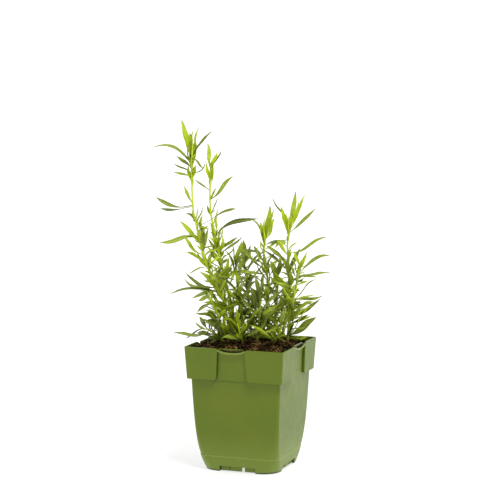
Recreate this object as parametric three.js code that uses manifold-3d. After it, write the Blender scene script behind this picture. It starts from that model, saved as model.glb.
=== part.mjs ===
// A tarragon plant in a square nursery pot, in millimetres, +Z up.
// The origin is under the pot's centre, on the surface that its four corner feet stand on, and the pot's
// sides face along X and Y. Fourteen leafy stems stand in holes in the peat; each is one solid, its leaves
// fused to it. The plant is laid out in its own axes (right, away, up), turned PLANT_TURN about +Z.
import * as THREE from "three";
import { mergeVertices } from "three/addons/utils/BufferGeometryUtils.js";
import Module from "manifold-3d";

const wasm = await Module();
wasm.setup();

// ---------------------------------------------------------------- driving dimensions

const RIM = 126.6; // height of the pot
const GAP = 0.3; // left between pieces that touch
const PAST = 2; // how far a cutting shape runs past what it cuts
const PLANT_TURN = THREE.MathUtils.degToRad(20.4);

const COLLAR = { foot: RIM - 32.4, halfLow: 50.5, halfTop: 52.5, corner: 2.2 };
const BODY = {
  half: 47.3, // at the collar, half the width
  taper: 4.6, // lost evenly on the way down
  tuck: 3.6, // lost besides, mostly just above the feet
  tuckPower: 5,
  corner: 3, // radius at the collar
  cornerLow: 19, // radius at the feet
  cornerPower: 4,
  levels: [20, 34, 50, 70], // heights at which the curved side is drawn
  footLevels: [0, 3, 7, 11],
};
const WALL = 1.4;
const STEP = { z: 15.5, out: 0.35, high: 0.3 }; // the small ledge round the pot above its feet
const FLOOR = { under: 5.6, top: 7.1 };
const FOOT_WALL = 2;
const LABEL_AT = -2.4; // the label recess is this far from the middle of the front, seen from the front
const RECESS = { halfTop: 14.2, halfLow: 16.2, deep: 2.5, corner: 3, cornerTurns: [60, 30, 0] };
const STRAP = { sag: 3.5, power: 2.5, reach: 16.8, high: 1.8, thick: 1.2, back: 0.3, steps: 4 };
const TONGUE = { half: 12.1, drop: 1.6, cut: 6 }; // the wall behind the strap, with its corners cut down
const NOTCH = { half: 19.1, reach: 14, setBack: 1.7, panel: 1.3, lift: 0.8 }; // between two feet
const SLIT = { at: 5.6, wide: 3.2 };
const GROOVE = { at: -8.7, wide: 1.1, deep: 0.5 };
const DRAIN = { slotLong: 13, slotWide: 6, slotAt: 27, hole: 4, holeSides: 10 };
const CORNER_STEPS = 3; // facets in each round corner of the pot

const SOIL = { level: RIM - 3.4, bottom: -20, span: 112, grid: 12 };
const MOUND = { high: 5.2, wide: 34 };
const SUNK = { deep: 3.2, at: 46, wide: 30 }; // the corner where the peat has settled
const LUMPS = [
  { high: 0.6, alongX: 0.31, alongY: 0.27, shift: 1.5 },
  { high: 0.6, alongX: 0.62, alongY: -0.35, shift: 2 },
  { high: 0.5, alongX: 0.5, alongY: 0.75, shift: 0 },
];
const HOLE = { sides: 8, slack: 0.15, over: 12 };
const ROOT_DEPTH = 14; // how far a stem goes down into its hole
const FOOT_RISE = 2.5; // a stem stands straight up to this height over the peat
const STEM_SIDES = 6;
const STEM_STEP = 17;

// Each stem: where it stands and the way it grows, as points (right, away, up) after the first, which has
// no height because it is on the peat; its radius at the foot and the tip; the leaves that the rule places:
// from which height, how far apart, how long at the bottom and the top; and the leaves of the outline.
// An outline leaf is [height of its root, right, away, up to its tip, arch low, arch high, width], and its
// peak after that where it isn't the usual one.
const STEMS = [
  {
    name: "stem_tall_left",
    seed: 1009,
    course: [
      [-13, 2], [-22, 0, 157], [-39, -4, 192], [-49.5, -7, 221], [-55, -9, 247], [-58.6, -10, 268],
      [-59.8, -10, 318],
    ],
    radius: [1.35, 0.75],
    fill: { from: 133, step: 8, to: 226, long: [34, 22], wide: 5.4 },
    outline: [
      [283, -3.4, 1, 23, 0.5, 0, 4.4], [285, 3.4, -2, 22, 0.5, 0, 4.2], [288, 0.6, 3, 24, 0, 0, 4],
      [296, -3.8, -2.4, 27, 0.4, 0, 4.6], [299.2, 3.9, 1.6, 29, 0.4, 0, 4.6], [300, 0.5, -4.4, 30, 0, 0, 4.6],
      [241, -5, 2, 22, 0.5, 0, 3.2], [237, 5, -2, 20, 0.5, 0, 3.2], [222, -5, -3, 22, 0, 0, 3.4],
      [219, 6, 3, 24, 0, 0, 3.4], [206, -8, 2, 24, 0, 0, 3.8], [203, 7, -3, 25, 0, 0, 3.6],
      [196, -14, 3, 22, 0.5, 0, 4], [192, -3, -5, 26, 0, 0, 4], [184, 5, 5, 29, 0, 0, 4],
      [174, -15, -4, 23, 0.5, 0, 4], [168, -2, 5, 27, 0, 0, 4], [160, -13, 3, 23, 0, 0, 4],
      [311, -9.5, -3, 41, 0, 0, 6.7], [315, -1.6, 1, 24, 0, 0, 5.1], [316, 1.8, -1.4, 26, 0, 0, 4.9],
      [307, 3.6, 3, 25, 0, 0, 5.5], [303, -3.5, -4, 24, 0, 0, 5.5],
      [315, 8, 4, 29, 1, 0, 2.3], [314, 21.5, -4, 28, 5, -1, 3.6], [306, -39.5, -16, 18.7, 18, 8, 3.4, 0.8],
      [303, -15, 4, 12.5, 1, 1, 3.7], [299, -18.5, 7, 9, 0, 0, 1.9], [295, -18.5, -6, 5, 0, 1, 2.7],
      [298, 14, -5, 14, -6, -6, 1.9], [313, 12.5, -7, -10, 2, 2, 2.4], [297, 4.5, -5, 10, 0, 0, 2.9],
      [268, -8.6, -4, 18.5, -1, -1, 4.6], [266.5, -36.5, -8, 9, -4, -10, 5.4, 2.2],
      [265, -33, 5, -2, -1, -5, 3, 2.6],
      [247.5, -12.8, 5, 9.5, 5, 5, 2.7], [227, -20.5, -6, 24, 1, 1, 5.5], [232.5, -40, -10, -2.5, 4, 0, 6.1],
      [216, -20, 5, 20, -4, -5, 4], [246.6, 1, -7, 18.5, 0, 0, 2.7], [246, 6, -4, 19.5, -1, 0, 2.9],
      [245, 39.5, -8, 18.5, 0, 4, 3.6, 3.4], [243, 12, -6, 0, 2, 2, 2.7], [183, -31.5, -8, 16, -5, -9, 4.2],
      [201, -21.5, 4, -6, 4, 5, 1.9], [181, -34, 8, 10, -3, -8, 3.5], [178.5, -51, -6, -3, 8, 5, 3.6],
      [176, -29, -14, -3, 6, 4, 4.4],
    ],
  },
  {
    name: "stem_tall_back",
    seed: 1086,
    course: [[-15, 14], [-22, 14, 169], [-30, 14, 202], [-37, 14, 235], [-41.5, 14, 262], [-41.5, 14, 303]],
    radius: [1.3, 0.75],
    fill: { from: 132, step: 8, to: 226, long: [36, 22], wide: 5.4 },
    outline: [
      [284, -3.4, 1, 23, 0.5, 0, 4.4], [286, 3.8, -1, 22, 0.5, 0, 4.4], [283, 0.5, -3, 22, 0, 0, 4.2],
      [242, 5, -3, 21, 0.4, 0, 3.2], [224, -7, 2, 23, 0, 0, 3.6], [208, 2, 5, 25, 0.4, 0, 4],
      [196, -11, -3, 24, 0.4, 0, 4], [184, 3, 4, 27, 0, 0, 4], [172, -9, -4, 24, 0, 0, 4],
      [302, -2.6, 0, 25, 0, 0, 5.1], [301, 7, 3, 17, 0, 0, 3.6], [300, 12, 7, 20, 0, 0, 1.9],
      [282, 3.6, -4, 24, -3, -2, 1.9], [278.5, -16, -3, 13, 0, 0, 2], [270, 6.5, -5, 12, 0, 0, 2.7],
      [269.5, 24, 4, 24, 0, 0, 4.6], [255, 7, -6, 17, 0, 0, 3.2], [251.5, -4.6, 6, 12, 0, 0, 3.3],
      [236, 3, 6, 17, 0, 0, 2.9], [232, 44, -4, 19, 12, 5, 5.8], [218, 4, -6, 24, 0, 0, 5.1],
      [216, 20, -5, 17, 1, 1, 4], [213, 24, 6, 19, 0, 0, 2.4], [214, -7, -5, 20, 0, 0, 4],
      [212, -12, 6, 18, 0, 0, 3.2],
    ],
  },
  {
    name: "stem_right",
    seed: 1163,
    course: [
      [31, 4], [36, 4, 155], [38.5, 3, 172], [38, 2, 191], [37, 2, 211], [36.6, 2, 226], [39.4, 2, 241],
    ],
    radius: [1.35, 0.75],
    fill: { from: 131, step: 5.6, to: 204, long: [36, 24], wide: 5.4 },
    outline: [
      [231, 3.4, 1, 27, 0.4, 0, 4.6], [232, -3, -2, 25, 0.4, 0, 4.4], [230, 0.5, -4, 28, 0, 0, 4.4],
      [240, 5.5, 0, 40, 0, 0, 5.1], [240, 15.5, 3, 37.5, -1, 0, 4], [239, 9.5, 6, 31, 0, 0, 2.7],
      [234, -8.5, -4, 30.5, 0, 0, 5.8], [237, -17.5, 5, 38, 6, 0, 1.9], [237, 26, -5, 26, 1, -2, 3.7],
      [217.5, 40, -12, 17, -5, 1, 3.3], [230, -13, -6, -8, 4, 4, 3.2], [166, 35, -8, 8.5, 0, 1, 3.3],
      [159, 14.5, 5, 6.5, 3, 3, 3.6], [150.5, 16, 7, 17.5, 0, 0, 2.4], [152.5, 35, -5, 19, -4, -7, 4.6],
      [167, 10.5, -6, 16, 0, 0, 3.2], [206, -23, -9, 20, 1, 1, 6.1], [198, -27.5, -12, 25, 2, 1, 6.1],
      [208, -11.5, 8, -20, 5, 3, 5.5],
    ],
  },
  {
    name: "stem_middle",
    seed: 1240,
    course: [[11, 10], [15, 10, 150], [17.5, 10, 182], [13.6, 10, 204], [12.9, 10, 219], [14.5, 10, 232]],
    radius: [1.3, 0.75],
    fill: { from: 132, step: 5.6, to: 206, long: [38, 24], wide: 5.4 },
    outline: [
      [223, -4, 1, 25, 0.4, 0, 4.6], [224, 3.8, -1, 27, 0.4, 0, 4.6], [222, 0.3, -4, 30, 0, 0, 4.6],
      [231, 4.5, 0, 34, 0, 0, 4.9], [231, 8.5, -2, 32, 0, 0, 3.6], [230, 9.5, 4, 21, -1, -1, 4.4],
      [230, 2.6, -4, 22, 0, 0, 4.2], [228, -17, 4, 23.5, 6, 4, 2.3], [224, 23, 5, 1.5, 5, 2, 3.6],
      [199, -29, -7, 26, 0, -3, 4.2], [216.5, -24, 5, -1, 3, 2, 2.7], [197, -8.5, -7, 28, -5, -4, 3.2],
      [193, -37, -8, 4, 4, 1, 4], [214, -9, -5, -8, 1, 1, 2.2],
    ],
  },
  {
    name: "stem_right_front",
    seed: 1317,
    course: [[36, -8], [40, -8, 160], [45, -7, 182], [48.5, -6, 203]],
    radius: [1.3, 0.75],
    fill: { from: 131, step: 5.6, to: 196, long: [34, 22], wide: 5.4 },
    outline: [
      [202, -4.5, 2, 18, 0, 0, 3.5], [202, 7.5, -2, 18, 0, 0, 3.6], [201, 8, 5, 14, 0, 0, 2.7],
      [201, 3.6, -4, 12, 0, 0, 3.6], [198, 32.5, -14, 18, 1, 12, 3.6], [195, 32.5, -7, 4, 1, -1, 4.2],
      [194, 20, 9, -1, 0, 0, 2.2], [188, 6, -6, 4, 0, 0, 2.7], [146.5, 20, 5, 9, -2, -2, 3.7],
      [134.5, 28.5, -9, 20, -2, -2, 7.7], [134, 6, -11, 14, 0, 0, 5.8],
    ],
  },
  {
    name: "stem_left_low",
    seed: 1394,
    course: [[-23, -8], [-31, -9, 148], [-38, -10, 166], [-42, -10, 174]],
    radius: [1.25, 0.75],
    fill: { from: 131, step: 5.5, to: 168, long: [32, 22], wide: 5.6 },
    outline: [
      [135, -12, -12, -8, 2, 2, 5.2], [134, -16, -6, -3, 2, 1, 5],
      [172, -15, -4, -1, 4, 2, 4.6], [172, -9, 5, 7, 0, 0, 3.6], [167, -16, -5, -8.5, 4, 2, 3.5],
      [156, -23, 3, 1, 0, 0, 2.9], [147, -14, -5, 4, 0, 1, 3.7], [152, -14, -12, 5, 2, 2, 6.7],
      [173, -3, 2, 15, 0, 0, 4.4],
    ],
  },
  {
    name: "stem_left_trailing",
    seed: 1471,
    course: [[-27, -14], [-36, -16, 137], [-45, -18, 143]],
    radius: [1.2, 0.75],
    fill: { from: 131, step: 4, to: 140, long: [28, 22], wide: 5.1 },
    outline: [
      [142, -12.5, -5, 8, -3, -2, 3.6], [141, -37, -9, 0, -3, -8, 3.7], [142, -24, 4, -11, 4, 3, 1.8],
      [137, -19, 5, 0, 1, 1, 3.6], [142.5, -8, 5, 12, 0, 0, 4.4],
    ],
  },
  {
    name: "stem_inner_left",
    seed: 1548,
    course: [[-6, -6], [-10, -7, 160], [-14, -8, 185], [-16, -8, 208]],
    radius: [1.25, 0.75],
    fill: { from: 132, step: 5.8, to: 206, long: [42, 26], wide: 5.9 },
    outline: [[206, 6, 3, 24, 0, 0, 5.1], [205, -3, -4, 24, 0, 0, 4.6], [204, 11, -4, 20, 0, 0, 4.4]],
  },
  {
    name: "stem_inner_back",
    seed: 1625,
    course: [[0, 22], [-2, 23, 160], [-5, 24, 186], [-7, 24, 204]],
    radius: [1.25, 0.75],
    fill: { from: 132, step: 6.4, to: 202, long: [42, 26], wide: 5.9 },
    outline: [[202, -2, 2, 26, 0, 0, 5.1], [201, 6, -3, 22, 0, 0, 4.4]],
  },
  {
    name: "stem_inner_front",
    seed: 1702,
    course: [[6, -12], [8, -13, 150], [9, -14, 176]],
    radius: [1.2, 0.75],
    fill: { from: 131, step: 4.2, to: 174, long: [38, 26], wide: 5.9 },
    outline: [[175, 3, -2, 22, 0, 0, 5.1], [174, -5, 3, 20, 0, 0, 4.6]],
  },
  {
    name: "stem_right_back",
    seed: 1779,
    course: [[22, 25], [26, 28, 160], [27, 30, 186]],
    radius: [1.25, 0.75],
    fill: { from: 131, step: 5.8, to: 182, long: [36, 24], wide: 5.6 },
    outline: [[184, 2, 1, 26, 0, 0, 4.9], [183, -6, 4, 22, 0, 0, 4.4]],
  },
  {
    name: "stem_left_back",
    seed: 1856,
    course: [[-20, 28], [-26, 33, 148], [-30, 37, 168]],
    radius: [1.2, 0.75],
    fill: { from: 131, step: 5, to: 164, long: [34, 26], wide: 5.4 },
    outline: [[167, -3, 3, 22, 0, 0, 4.6], [166, -10, -2, 17, 0, 0, 4]],
  },
  {
    name: "stem_front_left",
    seed: 1933,
    course: [[-9, -20], [-11, -23, 138], [-14, -26, 150]],
    radius: [1.15, 0.75],
    fill: { from: 131, step: 4.6, to: 148, long: [30, 24], wide: 5.4 },
    outline: [
      [133, 25, -8, 24, -6, -6, 6.6], [149, -2, -3, 18, 0, 0, 4.4], [132, -14, -6, 3, 2, 1, 5],
      [131, -6, -10, 8, 2, 1, 5], [134, 10, -9, 15, 1, 1, 4.8],
    ],
  },
  {
    name: "stem_front_right",
    seed: 2010,
    course: [[23, -18], [27, -22, 137], [31, -25, 148]],
    radius: [1.15, 0.75],
    fill: { from: 131, step: 4.6, to: 146, long: [28, 22], wide: 5.4 },
    outline: [[147, 3, -2, 17, 0, 0, 4.4]],
  },
];

const LEAF = {
  turn: THREE.MathUtils.degToRad(137.5), // from one leaf to the next, round the stem
  keel: 0.6, // how far the midrib stands out underneath
  petiole: 0.22, // width at the root, as a share of the blade's
  fold: 0.1, // how far the edges stand over the midrib, as a share of the width
  smallTo: 25, // a leaf no longer than this is drawn with the first list of stations
  longFrom: 44, // and one longer than this with the last
  stations: [[0, 0.42], [0, 0.3, 0.68], [0, 0.2, 0.46, 0.74]],
  peak: 1.25, // over 1, a leaf is widest past its middle
  bundle: 8, // leaves that root this near the tip are a bundle, and may touch each other
  hug: 0.93, // so may one along its stem, where the cosine of the angle between is more than this
};

// Ranges that the random draws are from. Lengths and arches are shares, and the rest is in radians.
const OUTLINE_SPREAD = { roll: [0.8, 1.5], twist: [-0.4, 0.4] };
const FILL_SPREAD = {
  step: [0.8, 1.2],
  length: [0.75, 1.25],
  azimuth: [-0.3, 0.3],
  rise: [0.12, 0.7],
  archLow: [-0.02, 0.16],
  archHigh: [-0.06, 0.18],
  sway: [-0.1, 0.1],
  width: [0.75, 1.2],
  roll: [-1.2, 1.2],
  twist: [-0.6, 0.6],
  peak: [1, 1.5],
};
const RISE_AT_TOP = 0.58; // how much steeper the highest leaves stand than the lowest
const BUD = { share: 0.4, azimuth: [-0.8, 0.8], rise: 0.5, length: [0.3, 0.55], width: 0.6 };

// The distances that leaves keep, from sample points on one to sample points on another.
const CLEAR = { leaves: 2.3, ownLeaves: 1.2, ownFrom: 9, stem: 1.5, peat: 1.4, rim: 1.9 };
const SAMPLES = [0.1, 0.18, 0.26, 0.34, 0.42, 0.5, 0.58, 0.66, 0.74, 0.82, 0.91, 1];
const AXIS_SAMPLES = 90;
const WIDE_BLADE = 0.8; // where the half width is more than this, the edges are sampled too
const SHORTER = [1, 0.8, 0.62];
const MILD_BENDS = { turns: [0, 8, -8, 16, -16, 24, -24], rises: [0, 5, -5, 10] };
const FREE_BENDS = { turns: [0, 18, -18, 36, -36, 60, -60, 90], rises: [0, 12, 24] };

// ---------------------------------------------------------------- general tools

// Repeatable random numbers: each call gives one in the range.
function randomNumbers(seed) {
  let state = seed;
  return ([low, high]) => {
    state = (state * 16807) % 2147483647;
    return low + (high - low) * (state / 2147483647);
  };
}

// A closed solid skinned over rings of points. Every ring has the same number of points, anticlockwise seen
// from its far side, except that the last may be a single point. Each quad is cut from its first corner.
function skin(rings) {
  const sides = rings[0].length;
  const points = rings.flat();
  const faces = [];
  for (let k = 1; k < sides - 1; k++) faces.push(0, k + 1, k);
  rings.slice(1).forEach((ring, i) => {
    const low = i * sides;
    const high = low + sides;
    for (let k = 0; k < sides; k++) {
      const next = (k + 1) % sides;
      if (ring.length === 1) faces.push(low + k, low + next, high);
      else faces.push(low + k, low + next, high + next, low + k, high + next, high + k);
    }
  });
  const last = points.length - rings.at(-1).length;
  for (let k = 1; k < rings.at(-1).length - 1; k++) faces.push(last, last + k, last + k + 1);
  const geometry = new THREE.BufferGeometry().setFromPoints(points);
  return geometry.setIndex(faces);
}

function solidOf(geometry) {
  const bare = geometry.clone().deleteAttribute("normal").deleteAttribute("uv");
  const merged = mergeVertices(bare, 1e-4);
  const vertProperties = Float32Array.from(merged.attributes.position.array);
  const triVerts = Uint32Array.from(merged.index.array);
  return new wasm.Manifold(new wasm.Mesh({ numProp: 3, vertProperties, triVerts }));
}

function box(width, depth, height, x, y, z) {
  return solidOf(new THREE.BoxGeometry(width, depth, height).translate(x, y, z));
}

// An outline drawn in X and Z, extruded along Y from near to far.
function slab(outline, near, far) {
  const options = { depth: far - near, bevelEnabled: false };
  const geometry = new THREE.ExtrudeGeometry(new THREE.Shape(outline), options);
  return solidOf(geometry.rotateX(Math.PI / 2).translate(0, far, 0));
}

// What is on the pot's front, repeated on the back, and mirrored on the right and left sides.
function onFourSides(solid) {
  const mirrored = solid.mirror([1, 0, 0]);
  return wasm.Manifold.union([
    solid,
    mirrored.rotate([0, 0, 90]),
    solid.rotate([0, 0, 180]),
    mirrored.rotate([0, 0, 270]),
  ]);
}

function meshOf(name, solid, material) {
  const { vertProperties, triVerts } = solid.getMesh();
  const geometry = new THREE.BufferGeometry();
  geometry.setAttribute("position", new THREE.BufferAttribute(vertProperties, 3));
  geometry.setIndex(new THREE.BufferAttribute(triVerts, 1));
  geometry.computeVertexNormals();
  const mesh = new THREE.Mesh(geometry, material);
  mesh.name = name;
  return mesh;
}

// ---------------------------------------------------------------- the pot

// A square with round corners at height z, anticlockwise from above.
function squareRing(half, corner, z) {
  const ring = [];
  for (let quarter = 0; quarter < 4; quarter++)
    for (let i = 0; i <= CORNER_STEPS; i++) {
      const angle = (Math.PI / 2) * (quarter + i / CORNER_STEPS);
      const middle = (Math.PI / 2) * (quarter + 0.5);
      const out = (half - corner) * Math.SQRT2;
      const x = out * Math.cos(middle) + corner * Math.cos(angle);
      ring.push(new THREE.Vector3(x, out * Math.sin(middle) + corner * Math.sin(angle), z));
    }
  return ring;
}

// Half the body's width at height z: it narrows evenly, and draws in just above the feet.
function bodyHalf(z) {
  const down = 1 - z / COLLAR.foot;
  const tuck = down > 0 ? BODY.tuck * down ** BODY.tuckPower : 0;
  return BODY.half - BODY.taper * down - tuck + (z < STEP.z ? STEP.out : 0);
}

function bodyCorner(z) {
  const down = Math.max(0, 1 - z / COLLAR.foot);
  return BODY.corner + (BODY.cornerLow - BODY.corner) * down ** BODY.cornerPower;
}

function bodyShape(levels, inset) {
  return solidOf(
    skin(levels.map((z) => squareRing(bodyHalf(z) - inset, Math.max(1, bodyCorner(z) - inset), z))),
  );
}

function collarShape(low, high, inset) {
  const half = (z) => {
    const up = (z - COLLAR.foot) / (RIM - COLLAR.foot);
    return COLLAR.halfLow + (COLLAR.halfTop - COLLAR.halfLow) * up - inset;
  };
  const corner = Math.max(0.8, COLLAR.corner - inset);
  return solidOf(skin([low, high].map((z) => squareRing(half(z), corner, z))));
}

// The label recess in the collar's front: what is inside its outline and outside the collar inset by depth.
function recess(grow, depth) {
  const { foot } = COLLAR;
  const round = RECESS.corner;
  const half = RECESS.halfLow + grow;
  const right = [[half + round, foot - PAST], [half + round, foot]];
  for (const degrees of RECESS.cornerTurns) {
    const turn = THREE.MathUtils.degToRad(degrees);
    right.push([half + round * (1 - Math.cos(turn)), foot + round * (1 - Math.sin(turn))]);
  }
  right.push([RECESS.halfTop + grow, RIM + PAST]);
  const left = right.map(([x, z]) => [-x, z]).reverse();
  const outline = [...right, ...left].map(([x, z]) => new THREE.Vector2(LABEL_AT + x, z));
  const cut = slab(outline, -COLLAR.halfTop - PAST, -BODY.half + 3 * PAST);
  return cut.subtract(collarShape(foot - 2 * PAST, RIM + 2 * PAST, depth));
}

// Everything inside the pot's walls, with the peat's gap to them if it is given.
function hollow(gap) {
  const wall = WALL + gap;
  const inside = bodyShape([FLOOR.top + gap, ...BODY.levels, COLLAR.foot, RIM + PAST], wall);
  const inCollar = collarShape(COLLAR.foot + wall, RIM + PAST, wall);
  return inside.add(inCollar.subtract(onFourSides(recess(wall, RECESS.deep + wall))));
}

// Height of the strap's top edge over the recess: a shallow arc that rises to the rim at both ends.
function strapTop(x) {
  const out = Math.min(1, Math.abs(x) / STRAP.reach);
  return RIM - STRAP.sag * (1 - out ** STRAP.power);
}

function strapAndScoop() {
  const top = [];
  for (let i = -STRAP.steps; i <= STRAP.steps; i++) {
    const x = (STRAP.reach * i) / STRAP.steps;
    top.push(new THREE.Vector2(LABEL_AT + x, strapTop(x)));
  }
  const [left, right] = [LABEL_AT - STRAP.reach, LABEL_AT + STRAP.reach];
  const scoop = [...top, new THREE.Vector2(right, RIM + PAST), new THREE.Vector2(left, RIM + PAST)];
  const under = top.map(({ x, y }) => new THREE.Vector2(x, y - STRAP.high)).reverse();
  const outer = COLLAR.halfTop - STRAP.back;
  return {
    strap: slab([...top, ...under], -outer, -outer + STRAP.thick),
    scoop: slab(scoop, -COLLAR.halfTop - PAST, -COLLAR.halfTop + RECESS.deep),
  };
}

// The corners of the tongue behind the strap, to be cut away.
function tongueCorners() {
  const cut = box(TONGUE.cut, TONGUE.cut, TONGUE.drop * 2, 0, 0, 0);
  const at = TONGUE.half + TONGUE.cut / 2;
  const inner = -COLLAR.halfTop + RECESS.deep + PAST;
  return [-at, at].map((x) => cut.translate([LABEL_AT + x, inner, RIM]));
}

function underside() {
  const below = bodyShape([-PAST, FLOOR.under / 2, FLOOR.under], FOOT_WALL);
  const deep = NOTCH.reach + PAST;
  const middle = -BODY.half + (NOTCH.reach - PAST) / 2;
  const notch = box(NOTCH.half * 2, deep, FLOOR.under + PAST, 0, middle, (FLOOR.under - PAST) / 2);
  return below.add(onFourSides(notch));
}

// The set-back wall in each notch between the feet, with its slit and its groove.
function notchPanel() {
  const face = -(bodyHalf(0) - NOTCH.setBack - NOTCH.panel / 2);
  const tall = FLOOR.top - NOTCH.lift - GAP;
  const middle = NOTCH.lift + tall / 2;
  const half = FLOOR.under / 2;
  const panel = box((NOTCH.half + WALL) * 2, NOTCH.panel, tall, 0, face, middle);
  const slit = box(SLIT.wide, NOTCH.panel * 3, FLOOR.under, SLIT.at, face, half);
  const groove = box(GROOVE.wide, GROOVE.deep * 2, FLOOR.under, GROOVE.at, face - NOTCH.panel / 2, half);
  return panel.subtract(slit).subtract(groove);
}

function drains() {
  const middle = (FLOOR.under + FLOOR.top) / 2;
  const high = (FLOOR.top - FLOOR.under) * 2;
  const slot = box(DRAIN.slotLong, DRAIN.slotWide, high, 0, -DRAIN.slotAt, middle);
  const round = new THREE.CylinderGeometry(DRAIN.hole, DRAIN.hole, high, DRAIN.holeSides);
  return onFourSides(slot).add(solidOf(round.rotateX(Math.PI / 2).translate(0, 0, middle)));
}

function potSolid() {
  const ledge = [STEP.z - STEP.high / 2, STEP.z + STEP.high / 2];
  const body = bodyShape([...BODY.footLevels, ...ledge, ...BODY.levels, COLLAR.foot, RIM], 0);
  const { strap, scoop } = strapAndScoop();
  const collar = collarShape(COLLAR.foot, RIM, 0)
    .subtract(onFourSides(recess(0, RECESS.deep)))
    .subtract(onFourSides(scoop));
  const shell = body.add(collar).subtract(hollow(0)).add(onFourSides(strap));
  const cuts = [underside(), drains(), ...tongueCorners().map(onFourSides)];
  return shell.subtract(wasm.Manifold.union(cuts)).add(onFourSides(notchPanel()));
}

// ---------------------------------------------------------------- the peat

// Height of the peat's surface at a point in the pot's axes: a low mound with lumps, sunk at one corner.
function peatHeight(x, y) {
  const mound = MOUND.high * Math.exp(-(x * x + y * y) / MOUND.wide ** 2);
  const sunk = SUNK.deep * Math.exp(-((x - SUNK.at) ** 2 + (y - SUNK.at) ** 2) / SUNK.wide ** 2);
  const lumps = LUMPS.map(
    ({ high, alongX, alongY, shift }) => high * Math.sin(alongX * x + alongY * y + shift),
  );
  return lumps.reduce((sum, lump) => sum + lump, SOIL.level + mound - sunk);
}

function peatSolid(holes) {
  const block = mergeVertices(
    new THREE.BoxGeometry(SOIL.span, SOIL.span, RIM, SOIL.grid, SOIL.grid, 1)
      .deleteAttribute("normal")
      .deleteAttribute("uv"),
  );
  const place = block.attributes.position;
  for (let i = 0; i < place.count; i++) {
    const onTop = place.getZ(i) > 0;
    place.setZ(i, onTop ? peatHeight(place.getX(i), place.getY(i)) : SOIL.bottom);
  }
  return solidOf(block).intersect(hollow(GAP)).subtract(wasm.Manifold.union(holes));
}

// ---------------------------------------------------------------- the plant

function toPot([x, y, z]) {
  const [c, s] = [Math.cos(PLANT_TURN), Math.sin(PLANT_TURN)];
  return [x * c - y * s, x * s + y * c, z];
}

// The height that a point of the plant has to clear: the peat inside the pot, the rim over its walls.
function groundUnder(point) {
  const [x, y] = toPot(point);
  const out = Math.max(Math.abs(x), Math.abs(y));
  if (out > COLLAR.halfTop + CLEAR.rim) return -Infinity;
  return out > BODY.half - CLEAR.rim ? RIM : peatHeight(x, y);
}

// The stem's axis from the peat to its tip.
function axisOf(stem) {
  const [[x, y], ...rest] = stem.course;
  const [px, py] = toPot([x, y, 0]);
  const foot = peatHeight(px, py);
  const points = [[x, y, foot + FOOT_RISE], ...rest].map((p) => new THREE.Vector3(...p));
  const curve = new THREE.CatmullRomCurve3(points, false, "catmullrom", 0.5);
  return { curve, foot, tip: points.at(-1).z };
}

// How far along the axis, from 0 to 1, it passes height z.
function shareAt(curve, z) {
  let [low, high] = [0, 1];
  for (let i = 0; i < 30; i++) {
    const middle = (low + high) / 2;
    if (curve.getPoint(middle).z < z) low = middle;
    else high = middle;
  }
  return low;
}

function radiusAt(stem, share) {
  return stem.radius[0] + (stem.radius[1] - stem.radius[0]) * share;
}

function stemSolid(stem, axis) {
  const rings = [];
  const ring = (centre, along, radius) => {
    const side = new THREE.Vector3(1, 0, 0).addScaledVector(along, -along.x).normalize();
    const back = new THREE.Vector3().crossVectors(along, side);
    rings.push(
      Array.from({ length: STEM_SIDES }, (_, k) => {
        const angle = (2 * Math.PI * k) / STEM_SIDES;
        return centre
          .clone()
          .addScaledVector(side, radius * Math.cos(angle))
          .addScaledVector(back, radius * Math.sin(angle));
      }),
    );
  };
  const start = axis.curve.getPoint(0);
  ring(start.clone().setZ(axis.foot - ROOT_DEPTH), new THREE.Vector3(0, 0, 1), stem.radius[0]);
  const steps = Math.ceil((axis.tip - axis.foot) / STEM_STEP);
  for (let i = 0; i <= steps; i++) {
    const share = i / steps;
    const along = i ? axis.curve.getTangent(share) : new THREE.Vector3(0, 0, 1);
    ring(axis.curve.getPoint(share), along, radiusAt(stem, share));
  }
  return solidOf(skin(rings));
}

// A leaf from its root: azimuth and rise of the line from root to tip, length, two arches off that line,
// width, and how far the blade is rolled about its midrib.
function leafFrame(leaf) {
  const [ca, sa] = [Math.cos(leaf.azimuth), Math.sin(leaf.azimuth)];
  const [ce, se] = [Math.cos(leaf.rise), Math.sin(leaf.rise)];
  return {
    along: new THREE.Vector3(ca * ce, sa * ce, se),
    over: new THREE.Vector3(-ca * se, -sa * se, ce),
    side: new THREE.Vector3(-sa, ca, 0),
  };
}

function midribOf(leaf) {
  const { along, over, side } = leafFrame(leaf);
  const point = (share, arch, sway) =>
    leaf.root
      .clone()
      .addScaledVector(along, leaf.length * share)
      .addScaledVector(over, arch)
      .addScaledVector(side, sway);
  return new THREE.CubicBezierCurve3(
    leaf.root,
    point(1 / 3, leaf.archLow, leaf.sway),
    point(2 / 3, leaf.archHigh, leaf.sway),
    point(1, 0, 0),
  );
}

// Width of the blade along the leaf, as a share of its greatest: a narrow stalk, then a lance.
function bladeShare(leaf, t) {
  const lance = Math.sin(Math.PI * t ** leaf.peak);
  return t < 0.5 ? Math.max(LEAF.petiole, lance) : lance;
}

function bladeAxes(leaf, curve, t) {
  const { side } = leafFrame(leaf);
  const along = curve.getTangent(t);
  const level = side.clone().addScaledVector(along, -side.dot(along)).normalize();
  const over = new THREE.Vector3().crossVectors(along, level);
  const roll = leaf.roll + leaf.twist * t;
  return {
    across: level.clone().multiplyScalar(Math.cos(roll)).addScaledVector(over, Math.sin(roll)),
    face: over.clone().multiplyScalar(Math.cos(roll)).addScaledVector(level, -Math.sin(roll)),
  };
}

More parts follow.
